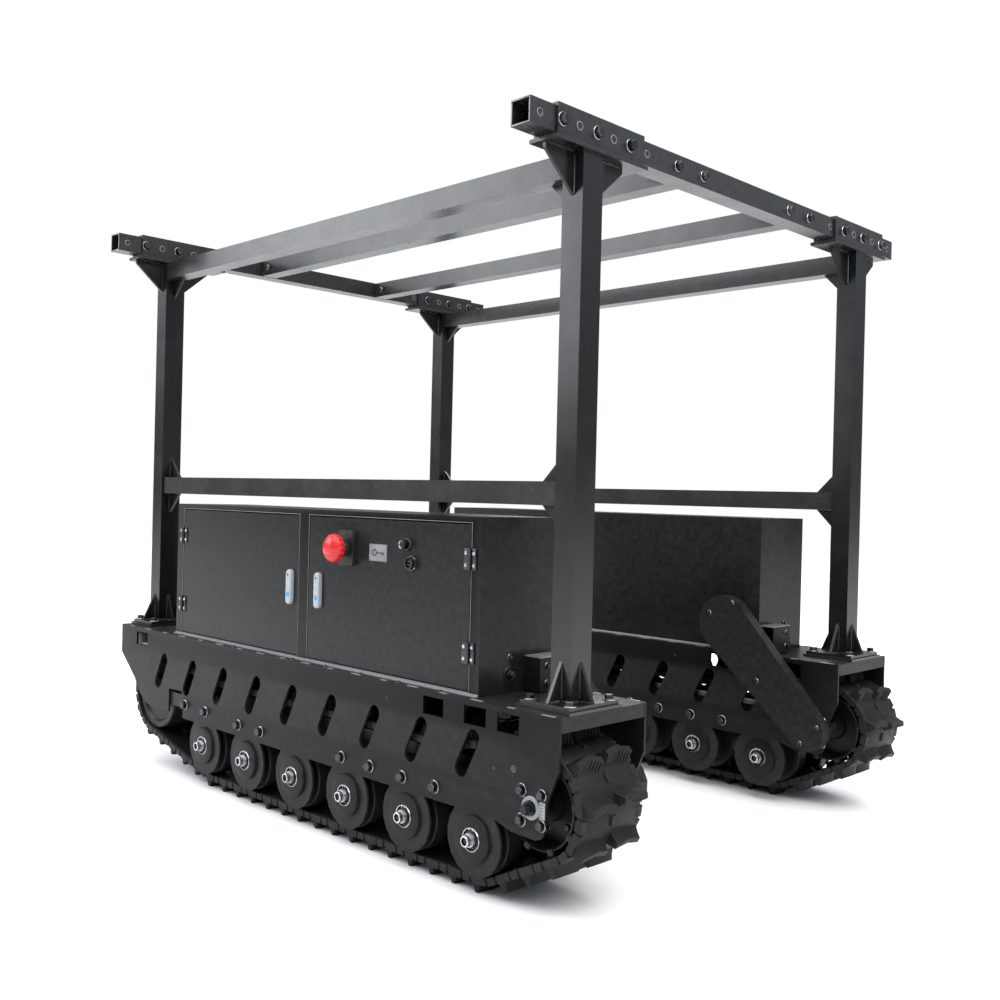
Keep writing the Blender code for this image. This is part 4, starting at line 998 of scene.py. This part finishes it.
def controls():
    body = "right_front_door"
    y = -(CAB_OUT + 0.0003)
    # stop button bracket
    pc = Piece("stop_button_base")
    pts = []
    ex, ez, hw, hh, r = 0.214, 0.703, 0.030, 0.042, 0.009
    for qx, qz, a0 in ((hw - r, hh - r, 0), (-hw + r, hh - r, 90), (-hw + r, -hh + r, 180), (hw - r, -hh + r, 270)):
        for i in range(6):
            a = math.radians(a0 + 18 * i)
            pts.append(P(ex + qx + r * math.cos(a), y, ez + qz + r * math.sin(a)))
    pc.prism(pts, (0, -0.0118, 0), BLK)
    pc.turn([(0.0195, 0.0), (0.0195, 0.014), (0.0175, 0.0175), (0.0168, 0.019), (0.0088, 0.019), (0.0088, -0.010)], P(ex, y - 0.0110, ez), (0, -1, 0), BLK, 36)
    for i in range(20):
        a = math.tau * i / 20
        pc.box(P(ex + 0.0197 * math.cos(a), y - 0.0190, ez + 0.0197 * math.sin(a)), (0.0022, 0.0100, 0.0022), BLK, 0.0005)
    for dz in (-0.034, 0.034):
        pc.turn([(0.0, 0.0012), (0.0020, 0.0012), (0.0034, 0.0008), (0.0036, 0.0)], P(ex, y - 0.0118, ez + dz), (0, -1, 0), BOLT, 16)
    pc.done(body, ("estop_bracket",), 35, 0.0006)

    pc = Piece("stop_button_cap")
    prof = [(0.0, 0.0655), (0.008, 0.0652), (0.016, 0.0638), (0.023, 0.0610), (0.0275, 0.0575), (0.0300, 0.0545), (0.0315, 0.0530), (0.0322, 0.0510), (0.0324, 0.0420), (0.0316, 0.0370),
            (0.0290, 0.0350), (0.0120, 0.0410), (0.0085, 0.0400), (0.0080, 0.0380), (0.0080, 0.0165), (0.0, 0.0165)]
    pc.turn(prof, P(ex, y, ez), (0, -1, 0), REDP, 56, True, [REDP] * 12 + [BLK] * 4)
    for i in range(16):
        a = math.tau * i / 16
        pc.turn([(0.0, 0.0), (0.0030, 0.0004), (0.0036, 0.0020), (0.0036, 0.0130), (0.0024, 0.0155), (0.0, 0.0160)], P(ex + 0.0305 * math.cos(a), y - 0.0368, ez + 0.0305 * math.sin(a)), (0, -1, 0), REDP, 10)
    # turn-to-release arrows as three raised arcs
    for k in range(3):
        for i in range(6):
            a = math.tau * k / 3 + i * 0.16
            pc.box(P(ex + 0.0185 * math.cos(a), y - 0.0632, ez + 0.0185 * math.sin(a)), (0.0028, 0.0016, 0.0028), REDP, 0.0005)
    pc.done("estop", ("estop_knob",), 35)

    # rating plate
    pc = Piece("control_label")
    lx, lz = 0.327, 0.697
    pc.box(P(lx, y - 0.0008, lz), (0.066, 0.0016, 0.040), GREY, 0.0006)
    pc.box(P(lx, y - 0.0018, lz), (0.060, 0.0006, 0.034), LABEL, 0.0002)
    pc.turn([(0.006, 0.0), (0.006, 0.0006), (0.0082, 0.0006), (0.0082, 0.0)], P(lx - 0.012, y - 0.0021, lz), (0, -1, 0), BLK, 24)
    pc.box(P(lx + 0.008, y - 0.0023, lz), (0.030, 0.0005, 0.0022), BLK, 0.0001)
    for q in (0.014, 0.020):
        pc.box(P(lx + q, y - 0.0023, lz - 0.0032), (0.0024, 0.0005, 0.0060), BLK, 0.0001)
    pc.done(body, (), 30)

    pc = Piece("key_barrel")
    kx, kz = 0.432, 0.722
    pc.turn([(0.0, 0.0180), (0.0070, 0.0180), (0.0085, 0.0172), (0.0100, 0.0195), (0.0112, 0.0185), (0.0114, 0.0062), (0.0135, 0.0058), (0.0148, 0.0040), (0.0150, 0.0)],
            P(kx, y, kz), (0, -1, 0), STEEL, 32, True, [BLACKOX, BLACKOX, ZINC, BLACKOX, BLACKOX, BLK, BLK, BLK])
    pc.box(P(kx, y - 0.0183, kz), (0.0016, 0.0008, 0.0080), BLK, 0.0002)
    pc.done("key", ("key_switch",), 35)

    pc = Piece("service_socket")
    sx, sz = 0.449, 0.680
    pc.turn([(0.0, 0.0050), (0.0090, 0.0050), (0.0100, 0.0080), (0.0105, 0.0130), (0.0135, 0.0128), (0.0140, 0.0050), (0.0176, 0.0042), (0.0180, 0.0)],
            P(sx, y, sz), (0, -1, 0), BLK, 32, True, [BLK, BLK, BOLT, BOLT, BOLT, BLK, BLK])
    for i in range(5):
        a = math.tau * i / 5
        pc.turn([(0.0, 0.0095), (0.0008, 0.0092), (0.0011, 0.0050)], P(sx + 0.0055 * math.cos(a), y, sz + 0.0055 * math.sin(a)), (0, -1, 0), STEEL, 8)
    for i in range(4):
        a = math.tau * (i + 0.5) / 4
        pc.turn([(0.0, 0.0010), (0.0012, 0.0009), (0.0018, 0.0)], P(sx + 0.0160 * math.cos(a), y - 0.0042, sz + 0.0160 * math.sin(a)), (0, -1, 0), STEEL, 10)
    pc.done(body, ("charge_socket",), 35)


# ------------------------------------------------------------------ assemble
for tag, side in (("right", -1), ("left", 1)):
    track(tag, side)
    for k, wx in enumerate(WHEELS):
        road_wheel(tag, side, k + 1, wx)
    drive_wheel(tag, side)
    idler_wheel(tag, side)
    plate_fittings(tag, side)
    fork_details(tag, side)
    post_fittings(tag, side)
    cabinet_details(tag, side)
    # hinge line x, direction from hinge line into the door, handle centre
    door_hardware(tag, side, "rear", -0.5755, 1, -0.026)
    door_hardware(tag, side, "front", 0.6395, -1, 0.096)
frame_fittings()
controls()


# ------------------------------------------------------------------ stage, light, camera
def floor():
    bm = bmesh.new()
    bmesh.ops.create_grid(bm, x_segments=2, y_segments=2, size=14.0)
    me = bpy.data.meshes.new("floor")
    bm.to_mesh(me)
    bm.free()
    ob = bpy.data.objects.new("floor", me)
    bpy.context.scene.collection.objects.link(ob)
    m, nt, b = nodes_of("floor_pale")
    co = coords(nt)
    c = ramp(nt, noise(nt, 1.2, 2.0, 0.5, co).outputs["Fac"], [(0.3, (0.86, 0.86, 0.86, 1)), (0.7, (0.90, 0.90, 0.90, 1))])
    nt.links.new(c.outputs["Color"], b.inputs["Base Color"])
    b.inputs["Roughness"].default_value = 0.9
    b.inputs["Specular IOR Level"].default_value = 0.1
    me.materials.append(m)


floor()


def area(name, loc, target, size, power, col=(1, 1, 1), sizey=None):
    ld = bpy.data.lights.new(name, 'AREA')
    ld.energy = power
    ld.color = col
    ld.size = size
    if sizey:
        ld.shape = 'RECTANGLE'
        ld.size_y = sizey
    ob = bpy.data.objects.new(name, ld)
    ob.location = loc
    ob.rotation_euler = (Vector(target) - Vector(loc)).to_track_quat('-Z', 'Y').to_euler()
    bpy.context.scene.collection.objects.link(ob)


world = bpy.data.worlds.new("studio")
bpy.context.scene.world = world
world.use_nodes = True
wn = world.node_tree
bg = wn.nodes["Background"]
wc = wn.nodes.new("ShaderNodeTexCoord")
ws = wn.nodes.new("ShaderNodeSeparateXYZ")
wn.links.new(wc.outputs["Generated"], ws.inputs[0])
wr = ramp(wn, ws.outputs["Z"], [(0.0, (0.16, 0.155, 0.15, 1)), (0.06, (0.18, 0.19, 0.20, 1)), (0.35, (0.55, 0.60, 0.66, 1)), (1.0, (1.0, 1.0, 1.0, 1))])
lp = wn.nodes.new("ShaderNodeLightPath")
wm = mixc(wn, lp.outputs["Is Camera Ray"], wr.outputs["Color"], (1.0, 1.0, 1.0, 1.0))
wn.links.new(wm, bg.inputs["Color"])
bg.inputs["Strength"].default_value = 1.0
area("key_soft", (3.6, -0.4, 3.4), (0.2, -0.2, 0.6), 2.2, 95, (1.0, 0.99, 0.97))
area("left_sky", (-2.8, -3.2, 2.6), (-0.3, -0.6, 0.7), 2.4, 95, (0.93, 0.96, 1.0))
area("rear_rim", (-1.8, 3.2, 3.0), (0, 0.3, 0.9), 2.2, 80, (0.95, 0.97, 1.0))
sun = bpy.data.lights.new("overhead_soft", 'SUN')
sun.energy = 2.3
sun.angle = math.radians(70)
so = bpy.data.objects.new("overhead_soft", sun)
so.rotation_euler = (math.radians(12), math.radians(10), 0)
bpy.context.scene.collection.objects.link(so)

cam = bpy.data.cameras.new("photo_camera")
cam.sensor_width = 36.0
cam.lens = 1080.46 / 1000.0 * 36.0
cam.clip_start = 0.05
cam.clip_end = 60
co = bpy.data.objects.new("photo_camera", cam)
bpy.context.scene.collection.objects.link(co)
pitch, roll, yaw = -0.0039, 0.0245, 0.7833
fwd = Vector((-math.sin(yaw) * math.cos(pitch), math.cos(yaw) * math.cos(pitch), math.sin(pitch)))
right = Vector((math.cos(yaw), math.sin(yaw), 0.0))
up = right.cross(fwd)
r2 = right * math.cos(roll) + up * math.sin(roll)
u2 = -right * math.sin(roll) + up * math.cos(roll)
mat = Matrix((r2, u2, -fwd)).transposed().to_4x4()
mat.translation = Vector((2.3065 + FX, -2.2572, 0.837))
co.matrix_world = mat
bpy.context.scene.camera = co
bpy.context.scene.view_settings.view_transform = 'Standard'
